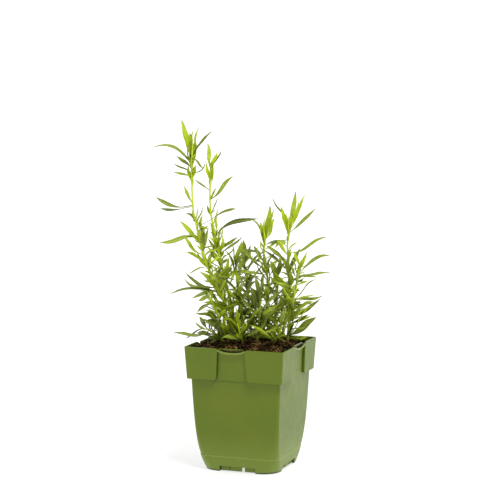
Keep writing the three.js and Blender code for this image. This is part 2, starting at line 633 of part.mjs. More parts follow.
function leafSolid(leaf) {
  const curve = midribOf(leaf);
  const list = [LEAF.smallTo, LEAF.longFrom].filter((limit) => leaf.length > limit).length;
  const rings = LEAF.stations[list].map((t) => {
    const middle = curve.getPoint(t);
    const { across, face } = bladeAxes(leaf, curve, t);
    const half = (leaf.width / 2) * bladeShare(leaf, t);
    const lift = LEAF.fold * half * 2;
    const at = (sideways, up) =>
      middle.clone().addScaledVector(across, sideways).addScaledVector(face, up);
    return [at(0, -LEAF.keel * (1 - 0.3 * t)), at(half, lift), at(-half, lift)];
  });
  return solidOf(skin([...rings, [curve.getPoint(1)]]));
}

function leafPoints(leaf) {
  const curve = midribOf(leaf);
  return SAMPLES.flatMap((t) => {
    const middle = curve.getPoint(t);
    const { across } = bladeAxes(leaf, curve, t);
    const half = (leaf.width / 2) * bladeShare(leaf, t);
    return (half > WIDE_BLADE ? [-half, 0, half] : [0]).map((offset) =>
      middle.clone().addScaledVector(across, offset).toArray(),
    );
  });
}

// ---------------------------------------------------------------- keeping the leaves apart

// Points already taken, each with its stem's number and the distance that other stems' leaves keep from it.
const taken = [];

function near(a, b, distance) {
  const [dx, dy, dz] = [a[0] - b[0], a[1] - b[1], a[2] - b[2]];
  return dx * dx + dy * dy + dz * dz < distance * distance;
}

function isClear(leaf, points, number) {
  const root = leaf.root.toArray();
  return points.every((point) => {
    if (point[2] < groundUnder(point) + CLEAR.peat) return false;
    const free = !leaf.bundled && !near(point, root, CLEAR.ownFrom);
    return taken.every((other) => {
      if (other.number !== number) return !near(point, other.place, other.keep);
      return other.isAxis || !free || !near(point, other.place, CLEAR.ownLeaves);
    });
  });
}

// The leaf bent clear of all that is there already, mildest bends first, or made shorter, or undefined.
function placed(leaf, number, { turns, rises }) {
  for (const share of SHORTER)
    for (const rise of rises)
      for (const turn of turns) {
        const tried = {
          ...leaf,
          length: leaf.length * share,
          azimuth: leaf.azimuth + THREE.MathUtils.degToRad(turn),
          rise: leaf.rise + THREE.MathUtils.degToRad(rise),
        };
        const points = leafPoints(tried);
        if (!isClear(tried, points, number)) continue;
        points.forEach((place) => taken.push({ place, number, keep: CLEAR.leaves }));
        return tried;
      }
  return undefined;
}

function outlineLeaf(axis, row, random) {
  const [z, right, away, up, archLow, archHigh, width, peak = LEAF.peak] = row;
  const flat = Math.hypot(right, away);
  const share = shareAt(axis.curve, z);
  const along = axis.curve.getTangent(share).dot(new THREE.Vector3(right, away, up).normalize());
  return {
    root: axis.curve.getPoint(share),
    azimuth: Math.atan2(away, right),
    rise: Math.atan2(up, flat),
    length: Math.hypot(flat, up),
    archLow,
    archHigh,
    sway: 0,
    width,
    roll: Math.sign(right) * random(OUTLINE_SPREAD.roll),
    twist: random(OUTLINE_SPREAD.twist),
    peak,
    bundled: z > axis.tip - LEAF.bundle || along > LEAF.hug,
  };
}

// A small leaf that sprouts over the root of another.
function budLeaf(leaf, random) {
  return {
    ...leaf,
    azimuth: leaf.azimuth + random(BUD.azimuth),
    rise: leaf.rise + BUD.rise,
    length: leaf.length * random(BUD.length),
    archLow: 0,
    archHigh: 0,
    sway: 0,
    width: leaf.width * BUD.width,
    roll: -leaf.roll,
  };
}

// The leaves that the rule places: a golden angle apart, long and spreading below, short and steep above.
function fillLeaves(fill, axis, random) {
  const [longBelow, longAbove] = fill.long;
  const leaves = [];
  let azimuth = random([0, 2 * Math.PI]);
  for (let z = fill.from; z < fill.to; z += fill.step * random(FILL_SPREAD.step)) {
    const up = (z - fill.from) / (fill.to - fill.from);
    const length = (longBelow + (longAbove - longBelow) * up) * random(FILL_SPREAD.length);
    azimuth += LEAF.turn;
    const leaf = {
      root: axis.curve.getPoint(shareAt(axis.curve, z)),
      azimuth: azimuth + random(FILL_SPREAD.azimuth),
      rise: random(FILL_SPREAD.rise) + RISE_AT_TOP * up,
      length,
      archLow: length * random(FILL_SPREAD.archLow),
      archHigh: length * random(FILL_SPREAD.archHigh),
      sway: length * random(FILL_SPREAD.sway),
      width: fill.wide * random(FILL_SPREAD.width),
      roll: random(FILL_SPREAD.roll),
      twist: random(FILL_SPREAD.twist),
      peak: random(FILL_SPREAD.peak),
      bundled: false,
    };
    leaves.push(leaf);
    if (random([0, 1]) < BUD.share) leaves.push(budLeaf(leaf, random));
  }
  return leaves;
}

// The stems' axes and, for each, its leaves: the outline's first, then the rule's.
function plantParts() {
  const axes = STEMS.map(axisOf);
  const leaves = STEMS.map(() => []);
  axes.forEach(({ curve }, number) => {
    for (let i = 0; i <= AXIS_SAMPLES; i++) {
      const share = i / AXIS_SAMPLES;
      const keep = radiusAt(STEMS[number], share) + CLEAR.stem;
      taken.push({ place: curve.getPoint(share).toArray(), number, keep, isAxis: true });
    }
  });
  STEMS.forEach(({ outline, seed }, number) => {
    const random = randomNumbers(seed);
    for (const row of outline)
      leaves[number].push(placed(outlineLeaf(axes[number], row, random), number, MILD_BENDS));
  });
  STEMS.forEach(({ fill, seed }, number) => {
    const random = randomNumbers(seed * 2);
    for (const leaf of fillLeaves(fill, axes[number], random))
      leaves[number].push(placed(leaf, number, FREE_BENDS));
  });
  return { axes, leaves: leaves.map((list) => list.filter(Boolean)) };
}

// ---------------------------------------------------------------- the whole

const plastic = new THREE.MeshStandardMaterial({ color: 0x6c7c35, roughness: 0.45, metalness: 0 });
const peat = new THREE.MeshStandardMaterial({ color: 0x31240f, roughness: 0.95, metalness: 0 });
const youngLeaf = new THREE.MeshStandardMaterial({ color: 0x8fae1e, roughness: 0.5, metalness: 0 });
const oldLeaf = new THREE.MeshStandardMaterial({ color: 0x4f6a23, roughness: 0.55, metalness: 0 });

const { axes, leaves } = plantParts();

const plant = new THREE.Group();
plant.rotation.z = PLANT_TURN;
STEMS.forEach((stem, number) => {
  const pieces = [stemSolid(stem, axes[number]), ...leaves[number].map(leafSolid)];
  const material = axes[number].tip > 200 ? youngLeaf : oldLeaf;
  plant.add(meshOf(stem.name, wasm.Manifold.union(pieces), material));
});

const holes = STEMS.map((stem, number) => {
  const radius = stem.radius[0] + GAP + HOLE.slack;
  const high = ROOT_DEPTH + GAP + HOLE.over;
  const [x, y] = toPot([...stem.course[0], 0]);
  const hole = new THREE.CylinderGeometry(radius, radius, high, HOLE.sides).rotateX(Math.PI / 2);
  return solidOf(hole.translate(x, y, axes[number].foot - ROOT_DEPTH - GAP + high / 2));
});

const whole = new THREE.Group();
whole.add(meshOf("pot", potSolid(), plastic), meshOf("peat", peatSolid(holes), peat), plant);

export default whole;
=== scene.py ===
"""A tarragon plant in its square nursery pot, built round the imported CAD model.

The pot, the peat and the leafy stems are modelled again with finer shapes, each in the place of its CAD node.
Sizes are in millimetres and the plant's own axes are (right, away, up), as in the CAD source, until a mesh is
made: Blender's objects are in metres.
"""
import math
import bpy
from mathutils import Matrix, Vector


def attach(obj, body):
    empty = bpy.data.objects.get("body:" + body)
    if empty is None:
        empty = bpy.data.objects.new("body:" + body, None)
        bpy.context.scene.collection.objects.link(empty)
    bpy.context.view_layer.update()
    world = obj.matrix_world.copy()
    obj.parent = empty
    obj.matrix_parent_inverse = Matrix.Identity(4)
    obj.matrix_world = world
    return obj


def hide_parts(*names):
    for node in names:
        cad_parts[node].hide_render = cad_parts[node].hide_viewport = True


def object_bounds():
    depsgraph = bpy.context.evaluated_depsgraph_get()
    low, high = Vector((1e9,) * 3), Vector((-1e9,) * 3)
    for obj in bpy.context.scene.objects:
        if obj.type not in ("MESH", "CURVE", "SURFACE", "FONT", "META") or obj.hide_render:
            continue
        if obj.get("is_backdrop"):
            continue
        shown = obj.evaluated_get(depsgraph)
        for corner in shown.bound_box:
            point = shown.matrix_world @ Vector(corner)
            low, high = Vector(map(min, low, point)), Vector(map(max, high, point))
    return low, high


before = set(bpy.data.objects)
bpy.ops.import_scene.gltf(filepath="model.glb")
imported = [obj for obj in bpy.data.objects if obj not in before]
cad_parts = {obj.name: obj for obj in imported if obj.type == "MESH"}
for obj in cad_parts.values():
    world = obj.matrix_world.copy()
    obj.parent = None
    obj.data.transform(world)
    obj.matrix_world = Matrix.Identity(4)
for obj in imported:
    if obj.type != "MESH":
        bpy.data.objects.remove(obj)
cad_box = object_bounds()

from types import SimpleNamespace as Values

import bmesh
import bpy
import numpy as np
from mathutils import Matrix, Vector, noise

MM = 0.001
ROUND = (0, 2 * math.pi)  # any direction

# ---------------------------------------------------------------- driving dimensions, as in the CAD source

RIM = 126.6  # height of the pot
GAP = 0.3  # left between the pot and the peat
PAST = 2  # how far a cutting shape runs past what it cuts
PLANT_TURN = math.radians(20.4)

COLLAR = Values(foot=RIM - 32.4, half_low=50.5, half_top=52.5, corner=2.2)
BODY = Values(half=47.3, taper=4.6, tuck=3.6, tuck_power=5, corner=3, corner_low=19, corner_power=4)
WALL = 1.4
LEDGE = Values(z=15.5, out=0.35, high=0.3)  # the small ledge round the pot above its feet
FLOOR = Values(under=5.6, top=7.1)
FOOT_WALL = 2  # thickness of the walls under the floor
LABEL_AT = -2.4  # the label recess is this far from the middle of the front, seen from the front
RECESS = Values(half_top=14.2, half_low=16.2, deep=2.5, corner=3)
STRAP = Values(sag=3.5, power=2.5, reach=16.8, high=1.8, thick=1.2, back=0.3)
TONGUE = Values(half=12.1, drop=1.6, cut=6)  # the wall behind the strap, with its corners cut down
NOTCH = Values(half=19.1, reach=14, set_back=1.7, panel=1.3, lift=0.8)  # between two feet
SLIT = Values(at=5.6, wide=3.2)
GROOVE = Values(at=-8.7, wide=1.1, deep=0.5)
DRAIN = Values(slot_long=13, slot_wide=6, slot_at=27, hole=4)

SOIL_LEVEL = RIM - 3.4
MOUND = Values(high=5.2, wide=34)
SUNK = Values(deep=3.2, at=46, wide=30)  # the corner where the peat has settled
LUMPS = [(0.6, 0.31, 0.27, 1.5), (0.6, 0.62, -0.35, 2), (0.5, 0.5, 0.75, 0)]  # high, along x, along y, shift
ROOT_DEPTH = 14
FOOT_RISE = 2.5  # from the peat to the stem's first point

# Each stem: its name; its radius at the foot; how dark and bluish its leaves are, from 0, fresh yellow green,
# to 1; the leaves that the rule places: from which height, how far apart, up to which height, how long below
# and above, and how wide; where it stands and the way it grows, as points (right, away, up) after the first,
# which has no height because it is on the peat; and the leaves of the outline: (height of root, right, away,
# up to the tip, arch low, arch high, width), and a leaf's peak after that where it isn't OUTLINE_PEAK.
STEM_TABLE = [
    ("stem_tall_left", 1.35, 0.0, (133, 8, 226, 34, 22, 5.4), [
        (-13, 2), (-22, 0, 157), (-39, -4, 192), (-49.5, -7, 221), (-55, -9, 247), (-58.6, -10, 268),
        (-59.8, -10, 318),
    ], [
        (283, -3.4, 1, 23, 0.5, 0, 4.4), (285, 3.4, -2, 22, 0.5, 0, 4.2), (288, 0.6, 3, 24, 0, 0, 4),
        (296, -3.8, -2.4, 27, 0.4, 0, 4.6), (299.2, 3.9, 1.6, 29, 0.4, 0, 4.6),
        (300, 0.5, -4.4, 30, 0, 0, 4.6), (241, -5, 2, 22, 0.5, 0, 3.2), (237, 5, -2, 20, 0.5, 0, 3.2),
        (222, -5, -3, 22, 0, 0, 3.4), (219, 6, 3, 24, 0, 0, 3.4), (206, -8, 2, 24, 0, 0, 3.8),
        (203, 7, -3, 25, 0, 0, 3.6), (196, -14, 3, 22, 0.5, 0, 4), (192, -3, -5, 26, 0, 0, 4),
        (184, 5, 5, 29, 0, 0, 4), (174, -15, -4, 23, 0.5, 0, 4), (168, -2, 5, 27, 0, 0, 4),
        (160, -13, 3, 23, 0, 0, 4), (311, -9.5, -3, 41, 0, 0, 6.7), (315, -1.6, 1, 24, 0, 0, 5.1),
        (316, 1.8, -1.4, 26, 0, 0, 4.9), (307, 3.6, 3, 25, 0, 0, 5.5), (303, -3.5, -4, 24, 0, 0, 5.5),
        (315, 8, 4, 29, 1, 0, 2.3), (314, 21.5, -4, 28, 5, -1, 3.6),
        (306, -39.5, -16, 18.7, 18, 8, 3.4, 0.8), (303, -15, 4, 12.5, 1, 1, 3.7),
        (299, -18.5, 7, 9, 0, 0, 1.9), (295, -18.5, -6, 5, 0, 1, 2.7), (298, 14, -5, 14, -6, -6, 1.9),
        (313, 12.5, -7, -10, 2, 2, 2.4), (297, 4.5, -5, 10, 0, 0, 2.9), (268, -8.6, -4, 18.5, -1, -1, 4.6),
        (266.5, -36.5, -8, 9, -4, -10, 5.4, 2.2), (265, -33, 5, -2, -1, -5, 3, 2.6),
        (247.5, -12.8, 5, 9.5, 5, 5, 2.7), (227, -20.5, -6, 24, 1, 1, 5.5),
        (232.5, -40, -10, -2.5, 4, 0, 6.1), (216, -20, 5, 20, -4, -5, 4), (246.6, 1, -7, 18.5, 0, 0, 2.7),
        (246, 6, -4, 19.5, -1, 0, 2.9), (245, 39.5, -8, 18.5, 0, 4, 3.6, 3.4), (243, 12, -6, 0, 2, 2, 2.7),
        (183, -31.5, -8, 16, -5, -9, 4.2), (201, -21.5, 4, -6, 4, 5, 1.9), (181, -34, 8, 10, -3, -8, 3.5),
        (178.5, -51, -6, -3, 8, 5, 3.6), (176, -29, -14, -3, 6, 4, 4.4),
    ]),
    ("stem_tall_back", 1.3, 0.12, (132, 8, 226, 36, 22, 5.4), [
        (-15, 14), (-22, 14, 169), (-30, 14, 202), (-37, 14, 235), (-41.5, 14, 262), (-41.5, 14, 303)
    ], [
        (284, -3.4, 1, 23, 0.5, 0, 4.4), (286, 3.8, -1, 22, 0.5, 0, 4.4), (283, 0.5, -3, 22, 0, 0, 4.2),
        (242, 5, -3, 21, 0.4, 0, 3.2), (224, -7, 2, 23, 0, 0, 3.6), (208, 2, 5, 25, 0.4, 0, 4),
        (196, -11, -3, 24, 0.4, 0, 4), (184, 3, 4, 27, 0, 0, 4), (172, -9, -4, 24, 0, 0, 4),
        (302, -2.6, 0, 25, 0, 0, 5.1), (301, 7, 3, 17, 0, 0, 3.6), (300, 12, 7, 20, 0, 0, 1.9),
        (282, 3.6, -4, 24, -3, -2, 1.9), (278.5, -16, -3, 13, 0, 0, 2), (270, 6.5, -5, 12, 0, 0, 2.7),
        (269.5, 24, 4, 24, 0, 0, 4.6), (255, 7, -6, 17, 0, 0, 3.2), (251.5, -4.6, 6, 12, 0, 0, 3.3),
        (236, 3, 6, 17, 0, 0, 2.9), (232, 44, -4, 19, 12, 5, 5.8), (218, 4, -6, 24, 0, 0, 5.1),
        (216, 20, -5, 17, 1, 1, 4), (213, 24, 6, 19, 0, 0, 2.4), (214, -7, -5, 20, 0, 0, 4),
        (212, -12, 6, 18, 0, 0, 3.2),
    ]),
    ("stem_right", 1.35, 0.0, (131, 5.6, 204, 36, 24, 5.4), [
        (31, 4), (36, 4, 155), (38.5, 3, 172), (38, 2, 191), (37, 2, 211), (36.6, 2, 226), (39.4, 2, 241)
    ], [
        (231, 3.4, 1, 27, 0.4, 0, 4.6), (232, -3, -2, 25, 0.4, 0, 4.4), (230, 0.5, -4, 28, 0, 0, 4.4),
        (240, 5.5, 0, 40, 0, 0, 5.1), (240, 15.5, 3, 37.5, -1, 0, 4), (239, 9.5, 6, 31, 0, 0, 2.7),
        (234, -8.5, -4, 30.5, 0, 0, 5.8), (237, -17.5, 5, 38, 6, 0, 1.9), (237, 26, -5, 26, 1, -2, 3.7),
        (217.5, 40, -12, 17, -5, 1, 3.3), (230, -13, -6, -8, 4, 4, 3.2), (166, 35, -8, 8.5, 0, 1, 3.3),
        (159, 14.5, 5, 6.5, 3, 3, 3.6), (150.5, 16, 7, 17.5, 0, 0, 2.4), (152.5, 35, -5, 19, -4, -7, 4.6),
        (167, 10.5, -6, 16, 0, 0, 3.2), (206, -23, -9, 20, 1, 1, 6.1), (198, -27.5, -12, 25, 2, 1, 6.1),
        (208, -11.5, 8, -20, 5, 3, 5.5),
    ]),
    ("stem_middle", 1.3, 0.2, (132, 5.6, 206, 38, 24, 5.4), [
        (11, 10), (15, 10, 150), (17.5, 10, 182), (13.6, 10, 204), (12.9, 10, 219), (14.5, 10, 232)
    ], [
        (223, -4, 1, 25, 0.4, 0, 4.6), (224, 3.8, -1, 27, 0.4, 0, 4.6), (222, 0.3, -4, 30, 0, 0, 4.6),
        (231, 4.5, 0, 34, 0, 0, 4.9), (231, 8.5, -2, 32, 0, 0, 3.6), (230, 9.5, 4, 21, -1, -1, 4.4),
        (230, 2.6, -4, 22, 0, 0, 4.2), (228, -17, 4, 23.5, 6, 4, 2.3), (224, 23, 5, 1.5, 5, 2, 3.6),
        (199, -29, -7, 26, 0, -3, 4.2), (216.5, -24, 5, -1, 3, 2, 2.7), (197, -8.5, -7, 28, -5, -4, 3.2),
        (193, -37, -8, 4, 4, 1, 4), (214, -9, -5, -8, 1, 1, 2.2),
    ]),
    ("stem_right_front", 1.3, 0.0, (131, 5.6, 196, 34, 22, 5.4), [
        (36, -8), (40, -8, 160), (45, -7, 182), (48.5, -6, 203)
    ], [
        (202, -4.5, 2, 18, 0, 0, 3.5), (202, 7.5, -2, 18, 0, 0, 3.6), (201, 8, 5, 14, 0, 0, 2.7),
        (201, 3.6, -4, 12, 0, 0, 3.6), (198, 32.5, -14, 18, 1, 12, 3.6), (195, 32.5, -7, 4, 1, -1, 4.2),
        (194, 20, 9, -1, 0, 0, 2.2), (188, 6, -6, 4, 0, 0, 2.7), (146.5, 20, 5, 9, -2, -2, 3.7),
        (134.5, 28.5, -9, 20, -2, -2, 7.7), (134, 6, -11, 14, 0, 0, 5.8),
    ]),
    ("stem_left_low", 1.25, 0.1, (131, 5.5, 168, 32, 22, 5.6), [
        (-23, -8), (-31, -9, 148), (-38, -10, 166), (-42, -10, 174)
    ], [
        (135, -12, -12, -8, 2, 2, 5.2), (134, -16, -6, -3, 2, 1, 5), (172, -15, -4, -1, 4, 2, 4.6),
        (172, -9, 5, 7, 0, 0, 3.6), (167, -16, -5, -8.5, 4, 2, 3.5), (156, -23, 3, 1, 0, 0, 2.9),
        (147, -14, -5, 4, 0, 1, 3.7), (152, -14, -12, 5, 2, 2, 6.7), (173, -3, 2, 15, 0, 0, 4.4),
    ]),
    ("stem_left_trailing", 1.2, 1.0, (131, 4, 140, 28, 22, 5.1), [
        (-27, -14), (-36, -16, 137), (-45, -18, 143)
    ], [
        (142, -12.5, -5, 8, -3, -2, 3.6), (141, -37, -9, 0, -3, -8, 3.7), (142, -24, 4, -11, 4, 3, 1.8),
        (137, -19, 5, 0, 1, 1, 3.6), (142.5, -8, 5, 12, 0, 0, 4.4),
    ]),
    ("stem_inner_left", 1.25, 0.62, (132, 5.8, 206, 42, 26, 5.9), [
        (-6, -6), (-10, -7, 160), (-14, -8, 185), (-16, -8, 208)
    ], [
        (206, 6, 3, 24, 0, 0, 5.1), (205, -3, -4, 24, 0, 0, 4.6), (204, 11, -4, 20, 0, 0, 4.4),
    ]),
    ("stem_inner_back", 1.25, 0.9, (132, 6.4, 202, 42, 26, 5.9), [
        (0, 22), (-2, 23, 160), (-5, 24, 186), (-7, 24, 204)
    ], [
        (202, -2, 2, 26, 0, 0, 5.1), (201, 6, -3, 22, 0, 0, 4.4),
    ]),
    ("stem_inner_front", 1.2, 0.6, (131, 4.2, 174, 38, 26, 5.9), [(6, -12), (8, -13, 150), (9, -14, 176)], [
        (175, 3, -2, 22, 0, 0, 5.1), (174, -5, 3, 20, 0, 0, 4.6),
    ]),
    ("stem_right_back", 1.25, 0.9, (131, 5.8, 182, 36, 24, 5.6), [(22, 25), (26, 28, 160), (27, 30, 186)], [
        (184, 2, 1, 26, 0, 0, 4.9), (183, -6, 4, 22, 0, 0, 4.4),
    ]),
    ("stem_left_back", 1.2, 0.8, (131, 5, 164, 34, 26, 5.4), [(-20, 28), (-26, 33, 148), (-30, 37, 168)], [
        (167, -3, 3, 22, 0, 0, 4.6), (166, -10, -2, 17, 0, 0, 4),
    ]),
    ("stem_front_left", 1.15, 0.1, (131, 4.6, 148, 30, 24, 5.4), [
        (-9, -20), (-11, -23, 138), (-14, -26, 150)
    ], [
        (133, 25, -8, 24, -6, -6, 6.6), (149, -2, -3, 18, 0, 0, 4.4), (132, -14, -6, 3, 2, 1, 5),
        (131, -6, -10, 8, 2, 1, 5), (134, 10, -9, 15, 1, 1, 4.8),
    ]),
    ("stem_front_right", 1.15, 0.2, (131, 4.6, 146, 28, 22, 5.4), [
        (23, -18), (27, -22, 137), (31, -25, 148)
    ], [
        (147, 3, -2, 17, 0, 0, 4.4),
    ]),
]

TIP_RADIUS = 0.75
SEEDS = Values(first=1009, apart=77)  # the first stem's seed, and how far apart those of the others are
DRAWS = Values(outline=1, fill=2, shape=3, young=5)  # multiply a stem's seed, for draws of four kinds
GROWN = Values(outline=0.74, fill=0.52, young=0.28)  # the least age of leaves of three kinds, from 0 to 1

LEAF_TURN = math.radians(137.5)  # from one leaf to the next, round the stem
PETIOLE = 0.22  # width at the root, as a share of the blade's
FOLD = 0.1  # how far the edges stand over the midrib, as a share of the width
BUNDLE = 8  # leaves that root this near the tip are a bundle, and may touch each other
HUG = 0.93  # so may one that points along its stem, where the cosine of the angle between is more than this
SPREADS = 0.85  # where that cosine is less than this, a leaf has grown out and darkened

# Ranges that the random draws are from. Azimuths, rises, rolls and twists are in radians, a peak is a power,
# and the others are shares of the step, length or width that there would be without them.
OUTLINE_SPREAD = Values(roll=(0.8, 1.5), twist=(-0.4, 0.4))
FILL_SPREAD = Values(
    step=(0.8, 1.2), length=(0.75, 1.25), azimuth=(-0.3, 0.3), rise=(0.12, 0.7), arch_low=(-0.02, 0.16),
    arch_high=(-0.06, 0.18), sway=(-0.1, 0.1), width=(0.75, 1.2), roll=(-1.2, 1.2), twist=(-0.6, 0.6),
    peak=(1.0, 1.5),
)
OUTLINE_PEAK = 1.25  # over 1, a leaf is widest past its middle
RISE_AT_TOP = 0.58  # how much steeper the rule's leaves are at the top of a stem than at its foot
BUD = Values(share=0.4, azimuth=(-0.8, 0.8), rise=0.5, length=(0.3, 0.55), width=0.6)  # this share has one

# The distances that leaves keep, from sample points on one to sample points on another.
CLEAR = Values(leaves=2.3, own_leaves=1.2, own_from=9, stem=1.5, peat=1.4, rim=1.9)
SAMPLES = np.array([0.1, 0.18, 0.26, 0.34, 0.42, 0.5, 0.58, 0.66, 0.74, 0.82, 0.91, 1])  # along a leaf
AXIS_SAMPLES = 90  # spans between the samples along a stem
HALVINGS = 30  # in the search for a height on a stem
NEAR = 1e-4  # between places on a curve that give its direction, as a share of it
MOST_SAMPLES = 40000  # of all leaves and stems
WIDE_BLADE = 0.8  # where the half width is more than this, the edges are sampled too
# What is tried where a leaf would come too near something: shares of its length, and turns in degrees.
SHORTER = (1, 0.8, 0.62)
MILD_BENDS = Values(turns=(0, 8, -8, 16, -16, 24, -24), rises=(0, 5, -5, 10))
FREE_BENDS = Values(turns=(0, 18, -18, 36, -36, 60, -60, 90), rises=(0, 12, 24))


# ---------------------------------------------------------------- general tools


def random_numbers(seed):
    """Repeatable random numbers, by Park and Miller's rule: each call gives one in the range."""
    state = seed

    def draw(spread):
        nonlocal state
        state = state * 16807 % 2147483647
        low, high = spread
        return low + (high - low) * (state / 2147483647)

    return draw


def unit(rows):
    return rows / np.linalg.norm(rows, axis=-1, keepdims=True)


def smooth_step(x):
    x = np.clip(x, 0, 1)
    return x * x * (3 - 2 * x)


def new_object(name, data):
    made = bpy.data.objects.new(name, data)
    bpy.context.scene.collection.objects.link(made)
    return made


def mesh_piece(name, points, faces, materials, face_materials=None, smooth=True):
    """A new object with this mesh. Its points come in millimetres."""
    mesh = bpy.data.meshes.new(name)
    mesh.from_pydata((np.asarray(points, float) * MM).tolist(), [], faces)
    for material in materials:
        mesh.materials.append(material)
    if face_materials is not None:
        mesh.polygons.foreach_set("material_index", face_materials)
    mesh.polygons.foreach_set("use_smooth", [smooth] * len(mesh.polygons))
    mesh.validate()
    mesh.update()
    return new_object(name, mesh)


def point_values(piece, name, values):
    """Gives the piece's mesh one number per point, which its material can read."""
    attribute = piece.data.attributes.new(name, "FLOAT", "POINT")
    attribute.data.foreach_set("value", np.asarray(values, np.float32))


def skin_faces(rings, sides):
    """Quads between rings of points that follow each other, anticlockwise seen from the last ring."""
    faces = []
    for low in range(0, (rings - 1) * sides, sides):
        for k in range(sides):
            after = (k + 1) % sides
            faces.append((low + k, low + after, low + sides + after, low + sides + k))
    return faces


def closed_skin(rings, sides):
    """The same quads, then a face that closes the first ring and one that closes the last."""
    last = (rings - 1) * sides
    return [*skin_faces(rings, sides), tuple(range(sides))[::-1], tuple(range(last, last + sides))]


def tube(centre, along, side, radius, sides, ribs=0, high=0):
    """Points and faces of a tube with a radius at each point of its centre, and with low ribs along it."""
    angle = 2 * np.pi * np.arange(sides) / sides
    out = radius[:, None] * (1 + high * np.cos(ribs * angle))
    points = centre[:, None] + side[:, None] * (out * np.cos(angle))[..., None]
    points = points + np.cross(along, side)[:, None] * (out * np.sin(angle))[..., None]
    return points.reshape(-1, 3), closed_skin(len(centre), sides)


class Gathered:
    """Many small meshes in one, with numbers for each of their points."""

    def __init__(self):
        self.points, self.faces, self.face_materials, self.values = [], [], [], {}
        self.count = 0

    def add(self, points, faces, material=0, **values):
        self.faces += [tuple(k + self.count for k in face) for face in faces]
        self.face_materials += [material] * len(faces)
        self.points.append(points)
        self.count += len(points)
        for name, value in values.items():
            self.values.setdefault(name, []).append(np.full(len(points), value, float))

    def piece(self, name, materials):
        made = mesh_piece(name, np.concatenate(self.points), self.faces, materials, self.face_materials)
        for value_name, values in self.values.items():
            point_values(made, value_name, np.concatenate(values))
        return made


# ---------------------------------------------------------------- the plant's rule, as in the CAD source


def to_pot(points):
    """From the plant's axes to the pot's."""
    c, s = math.cos(PLANT_TURN), math.sin(PLANT_TURN)
    points = np.asarray(points, float)
    x, y = points[..., 0], points[..., 1]
    return np.stack([x * c - y * s, x * s + y * c, points[..., 2]], -1)


def peat_height(x, y):
    """Height of the peat's surface at a point in the pot's axes: a low mound, sunk at one corner."""
    height = SOIL_LEVEL + MOUND.high * np.exp(-(x * x + y * y) / MOUND.wide ** 2)
    from_corner = (x - SUNK.at) ** 2 + (y - SUNK.at) ** 2
    height = height - SUNK.deep * np.exp(-from_corner / SUNK.wide ** 2)
    for high, along_x, along_y, shift in LUMPS:
        height = height + high * np.sin(along_x * x + along_y * y + shift)
    return height


def ground_under(points):
    """The height that each point has to clear: the peat inside the pot, the rim over its walls."""
    place = to_pot(points)
    out = np.maximum(np.abs(place[:, 0]), np.abs(place[:, 1]))
    ground = np.where(out > BODY.half - CLEAR.rim, RIM, peat_height(place[:, 0], place[:, 1]))
    return np.where(out > COLLAR.half_top + CLEAR.rim, -np.inf, ground)


class Spline:
    """A Catmull-Rom curve through points, from 0 at the first to 1 at the last."""

    def __init__(self, points):
        self.knots = np.array([2 * points[0] - points[1], *points, 2 * points[-1] - points[-2]])
        self.spans = len(points) - 1

    def at(self, share):
        place = np.atleast_1d(np.asarray(share, float)) * self.spans
        span = np.minimum(np.floor(place).astype(int), self.spans - 1)
        t = (place - span)[:, None]
        p0, p1, p2, p3 = (self.knots[span + i] for i in range(4))
        low, high = (p2 - p0) / 2, (p3 - p1) / 2
        square = -3 * p1 + 3 * p2 - 2 * low - high
        cube = 2 * p1 - 2 * p2 + low + high
        return p1 + low * t + square * t * t + cube * t * t * t


class Bezier:
    """A cubic Bezier curve, from 0 to 1."""

    def __init__(self, *points):
        self.points = points

    def at(self, share):
        t = np.atleast_1d(np.asarray(share, float))[:, None]
        u = 1 - t
        a, b, c, d = self.points
        return u**3 * a + 3 * u * u * t * b + 3 * u * t * t * c + t**3 * d


def tangents(curve, share):
    share = np.atleast_1d(np.asarray(share, float))
    before, after = np.maximum(share - NEAR, 0), np.minimum(share + NEAR, 1)
    return unit(curve.at(after) - curve.at(before))


class Stem:
    """One stem of the table, with its axis from the peat to its tip and the leaves that it gets."""

    def __init__(self, number, row):
        self.number = number
        self.name, self.radius, self.tone, self.fill, course, self.outline = row
        (x, y), *rest = course
        px, py, _ = to_pot([x, y, 0])
        self.foot = float(peat_height(px, py))
        points = np.array([[x, y, self.foot + FOOT_RISE], *rest], float)
        self.curve, self.tip = Spline(points), points[-1][2]
        self.kept = []

    def share_at(self, z):
        """How far along the axis, from 0 to 1, it passes height z."""
        low, high = 0.0, 1.0
        for _ in range(HALVINGS):
            middle = (low + high) / 2
            if self.curve.at(middle)[0, 2] < z:
                low = middle
            else:
                high = middle
        return low

    def point_at(self, z):
        return self.curve.at(self.share_at(z))[0]

    def radius_at(self, share):
        return self.radius + (TIP_RADIUS - self.radius) * share

    def draws(self, purpose):
        return random_numbers((SEEDS.first + SEEDS.apart * self.number) * purpose)


STEMS = [Stem(number, row) for number, row in enumerate(STEM_TABLE)]


class Leaf(Values):
    """One leaf: its root and directions, its sizes, and how it bends, turns and has grown."""

    def but(self, **changed):
        return Leaf(**{**vars(self), **changed})


def leaf_frame(leaf):
    """The leaf's directions: along it, up from it and to its side."""
    ca, sa = math.cos(leaf.azimuth), math.sin(leaf.azimuth)
    ce, se = math.cos(leaf.rise), math.sin(leaf.rise)
    return np.array([ca * ce, sa * ce, se]), np.array([-ca * se, -sa * se, ce]), np.array([-sa, ca, 0])


def midrib_of(leaf):
    along, over, side = leaf_frame(leaf)

    def point(share, arch, sway):
        return leaf.root + along * leaf.length * share + over * arch + side * sway

    low = point(1 / 3, leaf.arch_low, leaf.sway)
    high = point(2 / 3, leaf.arch_high, leaf.sway)
    return Bezier(leaf.root, low, high, point(1, 0, 0))


